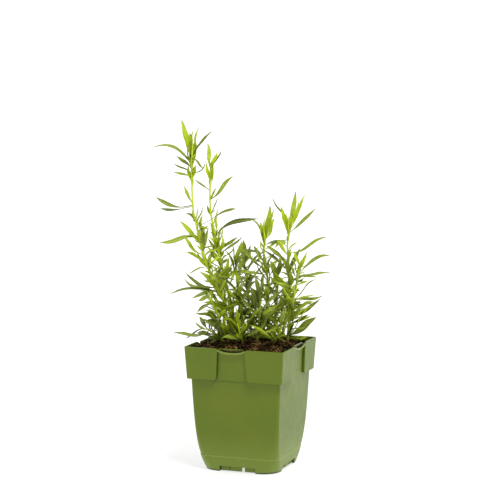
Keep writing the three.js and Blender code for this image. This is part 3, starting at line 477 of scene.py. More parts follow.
def blade_share(leaf, t):
    """Width of the blade along the leaf, as a share of its greatest: a narrow stalk, then a lance."""
    lance = np.maximum(np.sin(np.pi * t ** leaf.peak), 0)
    return np.where(t < 0.5, np.maximum(PETIOLE, lance), lance)


def blade_axes(leaf, curve, t):
    """The directions across the blade and out of its upper face, at each of the places t along it."""
    side = leaf_frame(leaf)[2]
    along = tangents(curve, t)
    level = unit(side - along * (along @ side)[:, None])
    over = np.cross(along, level)
    roll = (leaf.roll + leaf.twist * t)[:, None]
    return level * np.cos(roll) + over * np.sin(roll), over * np.cos(roll) - level * np.sin(roll)


def leaf_points(leaf):
    """Sample points on the leaf: on its midrib, and on both edges where it is wide."""
    curve = midrib_of(leaf)
    middle = curve.at(SAMPLES)
    across, _ = blade_axes(leaf, curve, SAMPLES)
    half = leaf.width / 2 * blade_share(leaf, SAMPLES)
    wide = half > WIDE_BLADE
    edge = across[wide] * half[wide, None]
    return np.concatenate([middle, middle[wide] - edge, middle[wide] + edge])


class Taken:
    """Points already taken, each with its stem's number and the distance that other stems' leaves keep."""

    def __init__(self):
        self.rows = np.zeros((MOST_SAMPLES, 6))
        self.count = 0

    def add(self, points, number, keep, is_axis=False):
        new = self.rows[self.count : self.count + len(points)]
        new[:, :3], new[:, 3], new[:, 4], new[:, 5] = points, number, keep, is_axis
        self.count += len(points)

    def is_clear(self, leaf, points, number, ease):
        """Whether a leaf with these points keeps its distances, or the share of them that ease gives."""
        if np.any(points[:, 2] < ground_under(points) + CLEAR.peat):
            return False
        rows = self.rows[: self.count]
        reach = CLEAR.stem + CLEAR.leaves
        inside = np.all((rows[:, :3] > points.min(0) - reach) & (rows[:, :3] < points.max(0) + reach), axis=1)
        rows = rows[inside]
        distance = np.linalg.norm(points[:, None] - rows[None, :, :3], axis=2)
        other = rows[:, 3] != number
        if np.any(other & (distance < rows[:, 4] * ease)):
            return False
        if leaf.bundled:
            return True
        free = np.linalg.norm(points - leaf.root, axis=1) >= CLEAR.own_from
        own = ~other & (rows[:, 5] == 0)
        return not np.any(free[:, None] & own & (distance < CLEAR.own_leaves * ease))


def placed(leaf, number, bends, taken, ease):
    """The leaf bent clear of all that is there already, mildest bends first, or made shorter, or None."""
    for share in SHORTER:
        for rise in bends.rises:
            for turn in bends.turns:
                azimuth, steepness = leaf.azimuth + math.radians(turn), leaf.rise + math.radians(rise)
                tried = leaf.but(length=leaf.length * share, azimuth=azimuth, rise=steepness)
                points = leaf_points(tried)
                if taken.is_clear(tried, points, number, ease):
                    taken.add(points, number, CLEAR.leaves)
                    return tried
    return None


def outline_leaf(stem, row, draw):
    z, right, away, up, arch_low, arch_high, width, *peak = row
    flat = math.hypot(right, away)
    share = stem.share_at(z)
    along_stem = float(tangents(stem.curve, share)[0] @ unit(np.array([right, away, up])))
    return Leaf(
        root=stem.curve.at(share)[0], azimuth=math.atan2(away, right), rise=math.atan2(up, flat),
        length=math.hypot(flat, up), arch_low=arch_low, arch_high=arch_high, sway=0, width=width,
        roll=math.copysign(1, right) * draw(OUTLINE_SPREAD.roll), twist=draw(OUTLINE_SPREAD.twist),
        peak=peak[0] if peak else OUTLINE_PEAK,
        bundled=z > stem.tip - BUNDLE or along_stem > HUG,
        grown=0 if along_stem > HUG else GROWN.outline if along_stem < SPREADS else GROWN.young,
    )


def outline_leaves(stem, draw):
    """The leaves of the photo's outline and of the tufts."""
    return [outline_leaf(stem, row, draw) for row in stem.outline]


def rule_leaf(stem, z, azimuth, length, spreads, draw, rise=0, wide=1, grown=GROWN.young):
    """A leaf that roots at height z, with the rest of its form drawn from these spreads."""
    return Leaf(
        root=stem.point_at(z), azimuth=azimuth + draw(spreads.azimuth), rise=draw(spreads.rise) + rise,
        length=length, arch_low=length * draw(spreads.arch_low), arch_high=length * draw(spreads.arch_high),
        sway=length * draw(spreads.sway), width=wide * draw(spreads.width), roll=draw(spreads.roll),
        twist=draw(spreads.twist), peak=draw(spreads.peak), bundled=False, grown=grown,
    )


def bud_leaf(leaf, draw):
    """A small leaf that sprouts over the root of another."""
    return leaf.but(
        azimuth=leaf.azimuth + draw(BUD.azimuth), rise=leaf.rise + BUD.rise,
        length=leaf.length * draw(BUD.length), arch_low=0, arch_high=0, sway=0,
        width=leaf.width * BUD.width, roll=-leaf.roll,
    )


def fill_leaves(stem, draw):
    """The leaves that the rule places, a golden angle apart: long and low below, short and steep above."""
    start, step, end, long_below, long_above, wide = stem.fill
    leaves = []
    azimuth = draw(ROUND)
    z = start
    while z < end:
        up = (z - start) / (end - start)
        length = (long_below + (long_above - long_below) * up) * draw(FILL_SPREAD.length)
        azimuth += LEAF_TURN
        leaf = rule_leaf(stem, z, azimuth, length, FILL_SPREAD, draw, RISE_AT_TOP * up, wide, GROWN.fill)
        leaves.append(leaf)
        if draw((0, 1)) < BUD.share:
            leaves.append(bud_leaf(leaf, draw))
        z += step * draw(FILL_SPREAD.step)
    return leaves


def grow():
    """Gives each stem its leaves: those of the outline, then those of the rule, and last the young ones."""
    taken = Taken()
    shares = np.linspace(0, 1, AXIS_SAMPLES + 1)
    for stem in STEMS:
        taken.add(stem.curve.at(shares), stem.number, stem.radius_at(shares) + CLEAR.stem, True)
    kinds = (
        (outline_leaves, DRAWS.outline, MILD_BENDS, 1), (fill_leaves, DRAWS.fill, FREE_BENDS, 1),
        (young_leaves, DRAWS.young, FREE_BENDS, YOUNG.ease),
    )
    for wanted, purpose, bends, ease in kinds:
        for stem in STEMS:
            leaves = wanted(stem, stem.draws(purpose))
            tried = [placed(leaf, stem.number, bends, taken, ease) for leaf in leaves]
            stem.kept.append([leaf for leaf in tried if leaf])


# ---------------------------------------------------------------- the plant's finer shapes

BLADE_COLUMNS = np.array([-1, -0.62, -0.16, 0, 0.16, 0.62, 1])  # across the blade, as shares of half of it
BLADE_STEP = 2.4  # between stations along a leaf
BLADE_STATIONS = (6, 18)  # the fewest and the most of them
BLADE_THICK = 0.42  # in the middle of a wide stretch
EDGE_THIN = 0.4  # thickness of the edges, as a share of the middle's
NARROW = Values(half=0.9, thin=0.35)  # where the half width is less, the blade thins down to this share
TIP_HALF = 0.04  # half the width at the very tip
DISHED = 1.4  # the power by which a folded blade rises to its edges
MIDRIB = Values(half=0.1, groove=0.1, keel=0.3, fades=0.6)  # how deep it lies on top, and stands out below
RIPPLE = 0.13  # how far the margins wave, as a share of the blade's half width
WAVES = (1.5, 3.0)  # how many waves a margin has
WAVER = (-0.048, 0.048)  # how far the midrib strays from its plain curve, as a share of the leaf's length
SLIM = Values(over=3.4, under=6.4, share=0.6)  # between these widths, a leaf keeps this share of what is over
STALK_SIDES = 12
STALK_STEP = 1.6
CHORD_ENDS = 60  # of the chords that measure its length
ROOT_RINGS = 5  # in the peat
STALK_TIP = Values(start=0.94, long=0.06, thinner=0.75)  # how much thinner the stem gets in its last bit
STALK_RIBS = Values(count=5, high=0.045)  # low ribs that run up the stem, as a share of its radius
JOINT = Values(swell=0.16, half=1.7)  # how much thicker the stem is where a leaf roots
SPROUT = Values(share=0.62, length=(5, 11), width=(1.0, 2.0), azimuth=(-1.0, 1.0), rise=(0.3, 1.0))
LOW_SPROUT = Values(under=30, length=(8, 16), width=(1.6, 3.0))  # nearer the peat than this, they are larger
TIP_BUD = Values(leaves=5, down=(0.5, 5), length=(6, 11), width=(1.2, 2.2), rise=(1.1, 1.5))
SMALL = Values(arch_low=0.3, arch_high=0.5, roll=(-0.5, 0.5))  # of sprouts and tip buds
# Young leaves: their lengths where they begin, and their lengths at this height above that and higher; how
# far over the stem's foot they begin, how far under its tip they end, and at what height in any case; the
# share of the distances that they keep; the steps between them, and how much wider these get on the way up.
YOUNG = Values(
    low=(16, 40), high=(9, 22), above=90, over=3, under=10, until=238, ease=0.6, step=(2.4, 4.2), sparser=0.2,
)
# On these stems the steps are so many times as wide.
YOUNG_APART = {"stem_tall_left": 0.75, "stem_left_low": 1.7, "stem_left_trailing": 2, "stem_front_left": 1.6}
YOUNG_SPREAD = Values(  # with widths in millimetres
    azimuth=(-0.5, 0.5), rise=(0.15, 1.1), arch_low=(-0.06, 0.16), arch_high=(-0.06, 0.16), width=(2.2, 4.6),
    sway=FILL_SPREAD.sway, roll=FILL_SPREAD.roll, twist=FILL_SPREAD.twist, peak=FILL_SPREAD.peak,
)
# How old a leaf looks, from 0 to 1, by how far down it is from the first height to the second, how far it has
# grown, its stem's tone, and chance.
AGE = Values(high=235, low=150, height=0.36, least=0.4, less_grown=0.4, tone=0.5, chance=(-0.26, 0.22))


def leaf_mesh(leaf, draw):
    """Points and faces of one thin folded blade, and how far across and along it each point is."""
    curve = midrib_of(leaf)
    t = np.linspace(0, 1, int(np.clip(round(leaf.length / BLADE_STEP), *BLADE_STATIONS)) + 1)
    across, face = blade_axes(leaf, curve, t)
    stray = (np.sin(2 * np.pi * t) * leaf.length)[:, None]
    middle = curve.at(t) + stray * (across * draw(WAVER) + face * draw(WAVER))
    width = leaf.width
    if SLIM.over < width < SLIM.under and not leaf.bundled:
        width = SLIM.over + SLIM.share * (width - SLIM.over)
    half = width / 2 * blade_share(leaf, t)
    half[-1] = TIP_HALF
    half, along, s = half[:, None], t[:, None], BLADE_COLUMNS
    phase = draw(ROUND)
    waves = draw(WAVES) * 2 * math.pi
    wave = RIPPLE * half * np.sin(waves * along + phase + np.sign(s)) * np.abs(s) ** 2
    full = np.minimum(half / NARROW.half, 1)
    rib = np.abs(s) < MIDRIB.half
    top = 2 * FOLD * half * np.abs(s) ** DISHED + wave - MIDRIB.groove * full * rib
    thick = BLADE_THICK * (NARROW.thin + (1 - NARROW.thin) * full) * (1 - (1 - EDGE_THIN) * s**2)
    under = top - thick - MIDRIB.keel * (1 - MIDRIB.fades * along) * full * rib

    def at(x, z):
        return middle[:, None] + across[:, None] * x[..., None] + face[:, None] * z[..., None]

    ring = np.concatenate([at(half * s, top)[:, ::-1], at(half * s, under)], axis=1)
    columns = np.tile(np.concatenate([s[::-1], s]), len(t))
    return ring.reshape(-1, 3), closed_skin(*ring.shape[:2]), columns, np.repeat(t, ring.shape[1])


def stalk_mesh(stem, leaves):
    """Points and faces of the stem, ribbed and thicker where leaves root, and how far up each point is."""
    chords = np.diff(stem.curve.at(np.linspace(0, 1, CHORD_ENDS)), axis=0)
    length = np.sum(np.linalg.norm(chords, axis=1))
    shares = np.linspace(0, 1, int(length / STALK_STEP) + 1)
    centre, along = stem.curve.at(shares), tangents(stem.curve, shares)
    below = np.linspace(stem.foot - ROOT_DEPTH, stem.foot, ROOT_RINGS)
    centre = np.concatenate([np.column_stack([np.tile(centre[0, :2], (ROOT_RINGS, 1)), below]), centre])
    along = np.concatenate([np.tile([0, 0, 1.0], (ROOT_RINGS, 1)), along])
    shares = np.concatenate([np.zeros(ROOT_RINGS), shares])
    side = unit(np.array([1.0, 0, 0]) - along * along[:, :1])
    roots = np.array([leaf.root[2] for leaf in leaves])
    swell = np.exp(-(((centre[:, 2:] - roots) / JOINT.half) ** 2)).max(1)
    thinner = STALK_TIP.thinner * smooth_step((shares - STALK_TIP.start) / STALK_TIP.long)
    radius = stem.radius_at(shares) * (1 + JOINT.swell * swell) * (1 - thinner)
    points, faces = tube(centre, along, side, radius, STALK_SIDES, STALK_RIBS.count, STALK_RIBS.high)
    return points, faces, np.repeat(shares, STALK_SIDES)


def small_leaf(root, azimuth, rise, kind, draw):
    """A sprout or a leaf of a tip bud."""
    return Leaf(
        root=root, azimuth=azimuth, rise=rise, length=draw(kind.length), width=draw(kind.width),
        arch_low=SMALL.arch_low, arch_high=SMALL.arch_high, sway=0, roll=draw(SMALL.roll),
        twist=draw(OUTLINE_SPREAD.twist), peak=draw(FILL_SPREAD.peak), bundled=True, grown=0,
    )


def sprouts(stem, leaves, draw):
    """Very small leaves: in the corners between the larger ones and the stem, and in a bud at its tip."""
    found = []
    for leaf in leaves:
        if draw((0, 1)) > SPROUT.share or leaf.bundled:
            continue
        kind = LOW_SPROUT if leaf.root[2] < stem.foot + LOW_SPROUT.under else SPROUT
        azimuth = leaf.azimuth + draw(SPROUT.azimuth)
        found.append(small_leaf(leaf.root, azimuth, draw(SPROUT.rise), kind, draw))
    for k in range(TIP_BUD.leaves):
        root = stem.point_at(stem.tip - draw(TIP_BUD.down))
        found.append(small_leaf(root, k * LEAF_TURN, draw(TIP_BUD.rise), TIP_BUD, draw))
    return found


def young_leaves(stem, draw):
    """Narrow leaves that fill the room that the others leave."""
    found = []
    azimuth = draw(ROUND)
    bottom, top = stem.foot + YOUNG.over, min(stem.tip - YOUNG.under, YOUNG.until)
    z = bottom
    while z < top:
        up = min(1, (z - bottom) / YOUNG.above)
        azimuth += LEAF_TURN
        short, long = (low + (high - low) * up for low, high in zip(YOUNG.low, YOUNG.high))
        found.append(rule_leaf(stem, z, azimuth, draw((short, long)), YOUNG_SPREAD, draw))
        z += draw(YOUNG.step) * (1 + YOUNG.sparser * up) * YOUNG_APART.get(stem.name, 1)
    return found


def leaf_age(leaf, tone, draw):
    down = float(smooth_step((AGE.high - leaf.root[2]) / (AGE.high - AGE.low)))
    age = max(AGE.height * (AGE.least + tone) * down, leaf.grown * (1 - AGE.less_grown * tone))
    return np.clip(age + (tone * AGE.tone + draw(AGE.chance)), 0, 1)


def leafy_stem(stem, materials):
    """One stem with its leaves, all in one mesh, in the place of its CAD node."""
    draw = stem.draws(DRAWS.shape)
    outline, fill, young = stem.kept
    leaves = outline + fill
    whole = Gathered()
    points, faces, shares = stalk_mesh(stem, leaves)
    whole.add(to_pot(points), faces, 1, across=0, along=shares, age=stem.tone, chance=0)
    for leaf in leaves + young + sprouts(stem, leaves, draw):
        points, faces, across, along = leaf_mesh(leaf, draw)
        age = leaf_age(leaf, stem.tone, draw)
        whole.add(to_pot(points), faces, 0, across=across, along=along, age=age, chance=draw((0, 1)))
    piece = whole.piece("leafy_" + stem.name, materials)
    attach(piece, "root")
    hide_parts(stem.name)


# ---------------------------------------------------------------- the pot

CORNER_STEPS = 12  # facets in each round corner
LEVEL_STEP = 4  # between the rings that the curved sides are drawn with
STRAP_STEPS = 24
FOOT_STEP = 2  # between the body's rings under the ledge
HOLE_SIDES = 32
ARC_DEGREES = 10  # between points on the recess's lower corners
LEAST_CORNER = Values(body=1, collar=0.8)
STRAP_SLACK = Values(along=0.5, out=0.2)  # in telling the straps' faces from the others
EDGE = Values(round=0.3, segments=2)  # radius on the pot's moulded edges, and their facets
SHARP = math.radians(32)  # edges sharper than this are rounded


def body_half(z):
    """Half the width of the pot's body at height z."""
    down = 1 - z / COLLAR.foot
    tuck = BODY.tuck * down ** BODY.tuck_power if down > 0 else 0
    return BODY.half - BODY.taper * down - tuck + (LEDGE.out if z < LEDGE.z else 0)


def body_corner(z):
    down = max(0, 1 - z / COLLAR.foot)
    return BODY.corner + (BODY.corner_low - BODY.corner) * down ** BODY.corner_power


def square_ring(half, corner, z):
    """A square with round corners at height z, anticlockwise from above."""
    ring = []
    out = half - corner
    for quarter in range(4):
        middle = math.pi / 2 * (quarter + 0.5)
        for i in range(CORNER_STEPS + 1):
            angle = math.pi / 2 * (quarter + i / CORNER_STEPS)
            x = out * math.sqrt(2) * math.cos(middle) + corner * math.cos(angle)
            ring.append((x, out * math.sqrt(2) * math.sin(middle) + corner * math.sin(angle), z))
    return ring


def solid(points, faces):
    """A mesh to cut or join with, in millimetres."""
    mesh = bpy.data.meshes.new("scrap")
    mesh.from_pydata([tuple(point) for point in points], [], faces)
    mesh.update()
    return mesh


def loft(rings):
    """A solid through rings of points, from the lowest up."""
    return solid([point for ring in rings for point in ring], closed_skin(len(rings), len(rings[0])))


def box(width, depth, height, x, y, z):
    w, d, h = width / 2, depth / 2, height / 2
    ring = [(x + w, y + d), (x - w, y + d), (x - w, y - d), (x + w, y - d)]
    return loft([[(a, b, z - h) for a, b in ring], [(a, b, z + h) for a, b in ring]])


def slab(outline, near, far):
    """An outline drawn in X and Z, anticlockwise, extruded along Y from near to far."""
    return loft([[(x, far, z) for x, z in outline], [(x, near, z) for x, z in outline]])


def turned(mesh, degrees, mirrored=False):
    copy = mesh.copy()
    if mirrored:
        copy.transform(Matrix.Scale(-1, 4, (1, 0, 0)))
        copy.flip_normals()
    copy.transform(Matrix.Rotation(math.radians(degrees), 4, "Z"))
    return copy


def four_sides(mesh):
    """What is on the pot's front, repeated on the back, and mirrored on the right and left sides."""
    return [mesh, turned(mesh, 90, True), turned(mesh, 180), turned(mesh, 270, True)]


def combined(mesh, operation, others):
    """The mesh with the others cut from it or joined to it, one after another."""
    held = new_object("held", mesh)
    tools = [new_object("tool", other) for other in others]
    for tool in tools:
        step = held.modifiers.new("step", "BOOLEAN")
        step.operation, step.solver, step.object = operation, "MANIFOLD", tool
    graph = bpy.context.evaluated_depsgraph_get()
    result = bpy.data.meshes.new_from_object(held.evaluated_get(graph))
    for scrap in [held, *tools]:
        bpy.data.objects.remove(scrap)
    return result


def levels_between(low, high, step):
    count = max(1, round((high - low) / step))
    return [low + (high - low) * i / count for i in range(count + 1)]


def body_shape(levels, inset):
    """The body's outer form, or a form that lies inside it by the inset."""
    corners = [max(LEAST_CORNER.body, body_corner(z) - inset) for z in levels]
    return loft([square_ring(body_half(z) - inset, corner, z) for z, corner in zip(levels, corners)])


def collar_half(z):
    up = (z - COLLAR.foot) / (RIM - COLLAR.foot)
    return COLLAR.half_low + (COLLAR.half_top - COLLAR.half_low) * up


def collar_shape(low, high, inset):
    corner = max(LEAST_CORNER.collar, COLLAR.corner - inset)
    return loft([square_ring(collar_half(z) - inset, corner, z) for z in (low, high)])


def recess(grow, depth):
    """The label recess in the collar's front: inside its outline, and outside the collar inset by depth."""
    foot, corner, half = COLLAR.foot, RECESS.corner, RECESS.half_low + grow
    right = [(half + corner, foot - PAST), (half + corner, foot)]
    for degrees in range(90 - ARC_DEGREES, -1, -ARC_DEGREES):
        turn = math.radians(degrees)
        right.append((half + corner * (1 - math.cos(turn)), foot + corner * (1 - math.sin(turn))))
    right.append((RECESS.half_top + grow, RIM + PAST))
    left = [(-x, z) for x, z in reversed(right)]
    outline = [(LABEL_AT + x, z) for x, z in right + left]
    cut = slab(outline, -COLLAR.half_top - PAST, -BODY.half + 3 * PAST)
    return combined(cut, "DIFFERENCE", [collar_shape(foot - 2 * PAST, RIM + 2 * PAST, depth)])


def hollow():
    """Everything inside the pot's walls."""
    levels = levels_between(FLOOR.top, COLLAR.foot, LEVEL_STEP)
    inside = body_shape([*levels, RIM + PAST], WALL)
    in_collar = collar_shape(COLLAR.foot + WALL, RIM + PAST, WALL)
    in_collar = combined(in_collar, "DIFFERENCE", four_sides(recess(WALL, RECESS.deep + WALL)))
    return combined(inside, "UNION", [in_collar])


def strap_and_scoop():
    """The thin bowed strap across the top of the recess, and the scoop that lowers the wall behind it."""
    top = []
    for i in range(-STRAP_STEPS, STRAP_STEPS + 1):
        x = STRAP.reach * i / STRAP_STEPS
        drop = STRAP.sag * (1 - min(1, abs(x) / STRAP.reach) ** STRAP.power)
        top.append((LABEL_AT + x, RIM - drop))
    left, right = LABEL_AT - STRAP.reach, LABEL_AT + STRAP.reach
    scoop = [*top, (right, RIM + PAST), (left, RIM + PAST)]
    under = [(x, z - STRAP.high) for x, z in top]
    outer = COLLAR.half_top - STRAP.back
    strap = slab([*under, *reversed(top)], -outer, -outer + STRAP.thick)
    return strap, slab(scoop, -COLLAR.half_top - PAST, -COLLAR.half_top + RECESS.deep)


def notch_panel():
    """The set-back wall in the notch between two feet, with its slit and its groove."""
    face = -(body_half(0) - NOTCH.set_back - NOTCH.panel / 2)
    tall = FLOOR.top - NOTCH.lift - GAP
    panel = box((NOTCH.half + WALL) * 2, NOTCH.panel, tall, 0, face, NOTCH.lift + tall / 2)
    half = FLOOR.under / 2
    slit = box(SLIT.wide, NOTCH.panel * 3, FLOOR.under, SLIT.at, face, half)
    at = face - NOTCH.panel / 2
    groove = box(GROOVE.wide, GROOVE.deep * 2, FLOOR.under, GROOVE.at, at, half)
    return combined(panel, "DIFFERENCE", [slit, groove])


def pot_cuts():
    """What is cut out under the floor, between the feet, through the floor and at the tongues' corners."""
    cuts = [body_shape([-PAST, 0, FLOOR.under / 2, FLOOR.under], FOOT_WALL)]
    deep = NOTCH.reach + PAST
    middle = -BODY.half + (NOTCH.reach - PAST) / 2
    high = FLOOR.under + PAST
    cuts += four_sides(box(NOTCH.half * 2, deep, high, 0, middle, (FLOOR.under - PAST) / 2))
    through, high = (FLOOR.under + FLOOR.top) / 2, (FLOOR.top - FLOOR.under) * 2
    cuts += four_sides(box(DRAIN.slot_long, DRAIN.slot_wide, high, 0, -DRAIN.slot_at, through))
    angles = [2 * math.pi * k / HOLE_SIDES for k in range(HOLE_SIDES)]
    hole = [(DRAIN.hole * math.cos(a), DRAIN.hole * math.sin(a)) for a in angles]
    cuts.append(loft([[(x, y, through + side * high / 2) for x, y in hole] for side in (-1, 1)]))
    at = TONGUE.half + TONGUE.cut / 2
    inner = -COLLAR.half_top + RECESS.deep + PAST
    for x in (-at, at):
        corner = box(TONGUE.cut, TONGUE.cut, TONGUE.drop * 2, LABEL_AT + x, inner, RIM)
        cuts += four_sides(corner)
    return cuts


def on_side(side, along, out):
    """The point at a place along a side and out from the middle: side 0 is the front, and 1 the right."""
    return ((along, -out), (out, -along), (-along, out), (-out, along))[side]


def from_side(x, y):
    """A point's place along the side that it is on, and out from the middle, as on the front."""
    if abs(y) >= abs(x):
        return (x, -y) if y < 0 else (-x, y)
    return (-y, x) if x > 0 else (y, -x)


def is_strap(face):
    """Whether a face of the finished pot is part of a strap."""
    x, y, z = (value / MM for value in face.center)
    along, out = from_side(x, y)
    high_up = z > RIM - STRAP.sag - STRAP.high - STRAP_SLACK.along
    beside = abs(along - LABEL_AT) < RECESS.half_top - STRAP_SLACK.along
    return high_up and beside and out > COLLAR.half_top - STRAP.back - STRAP.thick - STRAP_SLACK.out


def pot(materials):
    """The pot in one mesh: body and collar, what is cut from them, and the straps and notch panels."""
    below = levels_between(0, LEDGE.z - LEDGE.high / 2, FOOT_STEP)
    above = levels_between(LEDGE.z + LEDGE.high / 2, COLLAR.foot, LEVEL_STEP)
    body = body_shape([*below, *above, RIM], 0)
    strap, scoop = strap_and_scoop()
    collar = collar_shape(COLLAR.foot, RIM, 0)
    collar = combined(collar, "DIFFERENCE", four_sides(recess(0, RECESS.deep)) + four_sides(scoop))
    shell = combined(body, "UNION", [collar])
    shell = combined(shell, "DIFFERENCE", [hollow()])
    shell = combined(shell, "UNION", four_sides(strap))
    shell = combined(shell, "DIFFERENCE", pot_cuts())
    shell = combined(shell, "UNION", four_sides(notch_panel()))
    shell.transform(Matrix.Scale(MM, 4))
    shell.name = "nursery_pot"
    piece = new_object("nursery_pot", shell)
    shell.materials.clear()
    for material in materials:
        shell.materials.append(material)
    finish_edges(piece)
    faces = piece.data.polygons
    faces.foreach_set("material_index", [int(is_strap(face)) for face in faces])
    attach(piece, "root")
    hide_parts("pot")


def finish_edges(piece):
    """Rounds the moulded edges a little, and smooths the shading of what lies between them."""
    bevel = piece.modifiers.new("round", "BEVEL")
    bevel.width, bevel.segments, bevel.limit_method = EDGE.round * MM, EDGE.segments, "ANGLE"
    bevel.angle_limit = SHARP
    bevel.use_clamp_overlap = True
    bevel.miter_outer = "MITER_ARC"
    graph = bpy.context.evaluated_depsgraph_get()
    rounded = bpy.data.meshes.new_from_object(piece.evaluated_get(graph))
    piece.modifiers.clear()
    piece.data = rounded
    rounded.polygons.foreach_set("use_smooth", [True] * len(rounded.polygons))
    rounded.set_sharp_from_angle(angle=SHARP)
    weighted = piece.modifiers.new("shading", "WEIGHTED_NORMAL")
    weighted.keep_sharp = True


# ---------------------------------------------------------------- the peat

PEAT_RINGS = 64  # from the middle to the wall
PEAT_PITCH = 0.9  # between points along the wall
PEAT_STEP = 10  # between the rings of its sides
PEAT_LET_IN = 0.5  # how far the peat's edge runs into the pot's wall, so that no gap shows
CALM = Values(at=1.02, times=12)  # how the surface gets smooth in the last bit of the way to the wall
ROUGH = [(0.085, 2.4, 0), (0.21, 2.2, 7), (0.55, 1.3, 19), (1.3, 0.5, 31)]  # scale, height, shift
# Crumbs: their sizes, the power that makes most of them small, from which size on they are made from finer
# balls, how each is stretched, how far its middle lies over the surface as a share of its size, and its turn.
CRUMBS = Values(
    count=2600, small=0.3, large=1.7, power=3, seed=4111, fine_from=0.8,
    sides=((0.7, 1.9), (0.5, 1.1), (0.3, 0.8)), over=(-0.2, 0.35), angle=(0, 6.28), leaning=1.2,
    shifts=(0, 90), from_wall=0.5,
)
LUMPY = ((0.9, 1.5), (0.8, 3.7))  # heights and scales of a crumb's lumps, as shares of its radius
POCKET = Values(crumbs=260, size=(0.25, 0.6), reach=11, behind=0.62, down=(-2.1, -0.1))  # behind the straps
FIBRES = Values(
    count=2700, seed=5227, length=(2, 9), radius=(0.08, 0.26), rings=7, sides=4, taper=0.6, bend=(-0.9, 0.9),
    lift=(-0.1, 0.55), arches=(0.5, 1), from_wall=4, inside=0.6,
)
TUFTS = Values(count=90, wide=3.2, from_wall=5, loose=4)  # one fibre in so many lies outside them


def wall_reach(angle):
    """How far the peat reaches from the middle at its surface, along an angle in the pot's axes."""
    c, s = math.cos(angle), math.sin(angle)
    slant = max(abs(c), abs(s))
    out = collar_half(SOIL_LEVEL) - WALL + PEAT_LET_IN
    beside = abs(from_side(c / slant * out, s / slant * out)[0] - LABEL_AT)
    inside = smooth_step(RECESS.half_top + WALL + PEAT_LET_IN + 1 - beside)
    return out / slant - float(inside) * RECESS.deep / slant


def peat_rough(x, y):
    """How far the crumbly surface stands over the smooth peat at a point."""
    return sum(high * noise.noise((x * scale, y * scale, shift)) for scale, high, shift in ROUGH)


def peat_top(x, y, share=1):
    """Height of the crumbly surface at a point, with this share of its roughness."""
    return float(peat_height(x, y)) + peat_rough(x, y) * share


def square_point(half, corner, angle):
    """Where a ray from the middle meets a square with round corners."""
    c, s = math.cos(angle), math.sin(angle)
    reach = half / max(abs(c), abs(s))
    x, y = abs(c) * reach, abs(s) * reach
    out = half - corner
    if x > out and y > out:
        a = abs(c) * out + abs(s) * out
        reach = a + math.sqrt(max(0, a * a - 2 * out * out + corner * corner))
    return c * reach, s * reach


def peat(material):
    """The bed of peat in one closed mesh: its crumbly top, its sides down to the floor, and its foot."""
    pitches = int(8 * COLLAR.half_top / PEAT_PITCH) // 4
    tangent = [-1 + 2 * k / pitches for k in range(pitches)]
    angles = [math.atan(across) + side * math.pi / 2 for side in range(4) for across in tangent]
    edge = [(math.cos(a) * wall_reach(a), math.sin(a) * wall_reach(a)) for a in angles]
    count = len(edge)
    points = []
    for ring in range(PEAT_RINGS, 0, -1):
        share = ring / PEAT_RINGS
        rough = min(1, (CALM.at - share) * CALM.times)
        points += [(x * share, y * share, peat_top(x * share, y * share, rough)) for x, y in edge]
    rise = [peat_rough(x, y) for x, y, _ in points]
    points.append((0, 0, peat_top(0, 0)))
    faces = skin_faces(PEAT_RINGS, count)
    last = (PEAT_RINGS - 1) * count
    faces += [(last + k, last + (k + 1) % count, len(points) - 1) for k in range(count)]
    upper = range(count)
    for z in reversed(levels_between(FLOOR.top + GAP, COLLAR.foot + WALL, PEAT_STEP)):
        half, corner = body_half(z) - WALL - GAP, max(LEAST_CORNER.body, body_corner(z) - WALL - GAP)
        lower = range(len(points), len(points) + count)
        points += [(*square_point(half, corner, a), z) for a in angles]
        faces += [(lower[k], lower[(k + 1) % count], upper[(k + 1) % count], upper[k]) for k in range(count)]
        upper = lower
    faces.append(tuple(reversed(upper)))
    piece = mesh_piece("peat_bed", points, faces, [material])
    point_values(piece, "rise", rise + [0] * (len(points) - len(rise)))
    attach(piece, "root")
    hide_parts("peat")


def on_peat(draw, keep):
    """A random place on the peat's surface, in the pot's axes, at least keep from the walls."""
    half = BODY.half - WALL - keep
    x, y = draw((-half, half)), draw((-half, half))
    return x, y, peat_top(x, y)


def in_pocket(side, draw):
    """A random place between one of the four straps and the wall behind it, in the pot's axes."""
    along = draw((-POCKET.reach, POCKET.reach))
    drop = STRAP.sag * (1 - abs(along / STRAP.reach) ** STRAP.power)
    out = COLLAR.half_top - STRAP.back - STRAP.thick - POCKET.behind
    x, y = on_side(side, LABEL_AT + along, out)
    return x, y, RIM - drop - draw(POCKET.down)


def turned_by(draw):
    """A random turn round a random axis, as a matrix."""
    angle = draw(CRUMBS.angle)
    axis = Vector((draw((-1, 1)), draw((-1, 1)), draw((-1, 1)) + CRUMBS.leaning))
    return np.array(Matrix.Rotation(angle, 3, axis.normalized()))


def ball(detail):
    """Points and faces of a plain ball."""
    mesh = bmesh.new()
    bmesh.ops.create_icosphere(mesh, subdivisions=detail, radius=1)
    points = np.array([v.co for v in mesh.verts])
    faces = [tuple(v.index for v in f.verts) for f in mesh.faces]
    mesh.free()
    return points, faces


def lumps_at(point, shift):
    """How far a crumb stands out from a ball at a point, as a share of its radius."""
    moved = Vector(point) + Vector((shift, 0, 0))
    return sum(high * noise.noise(moved * scale) for high, scale in LUMPY)


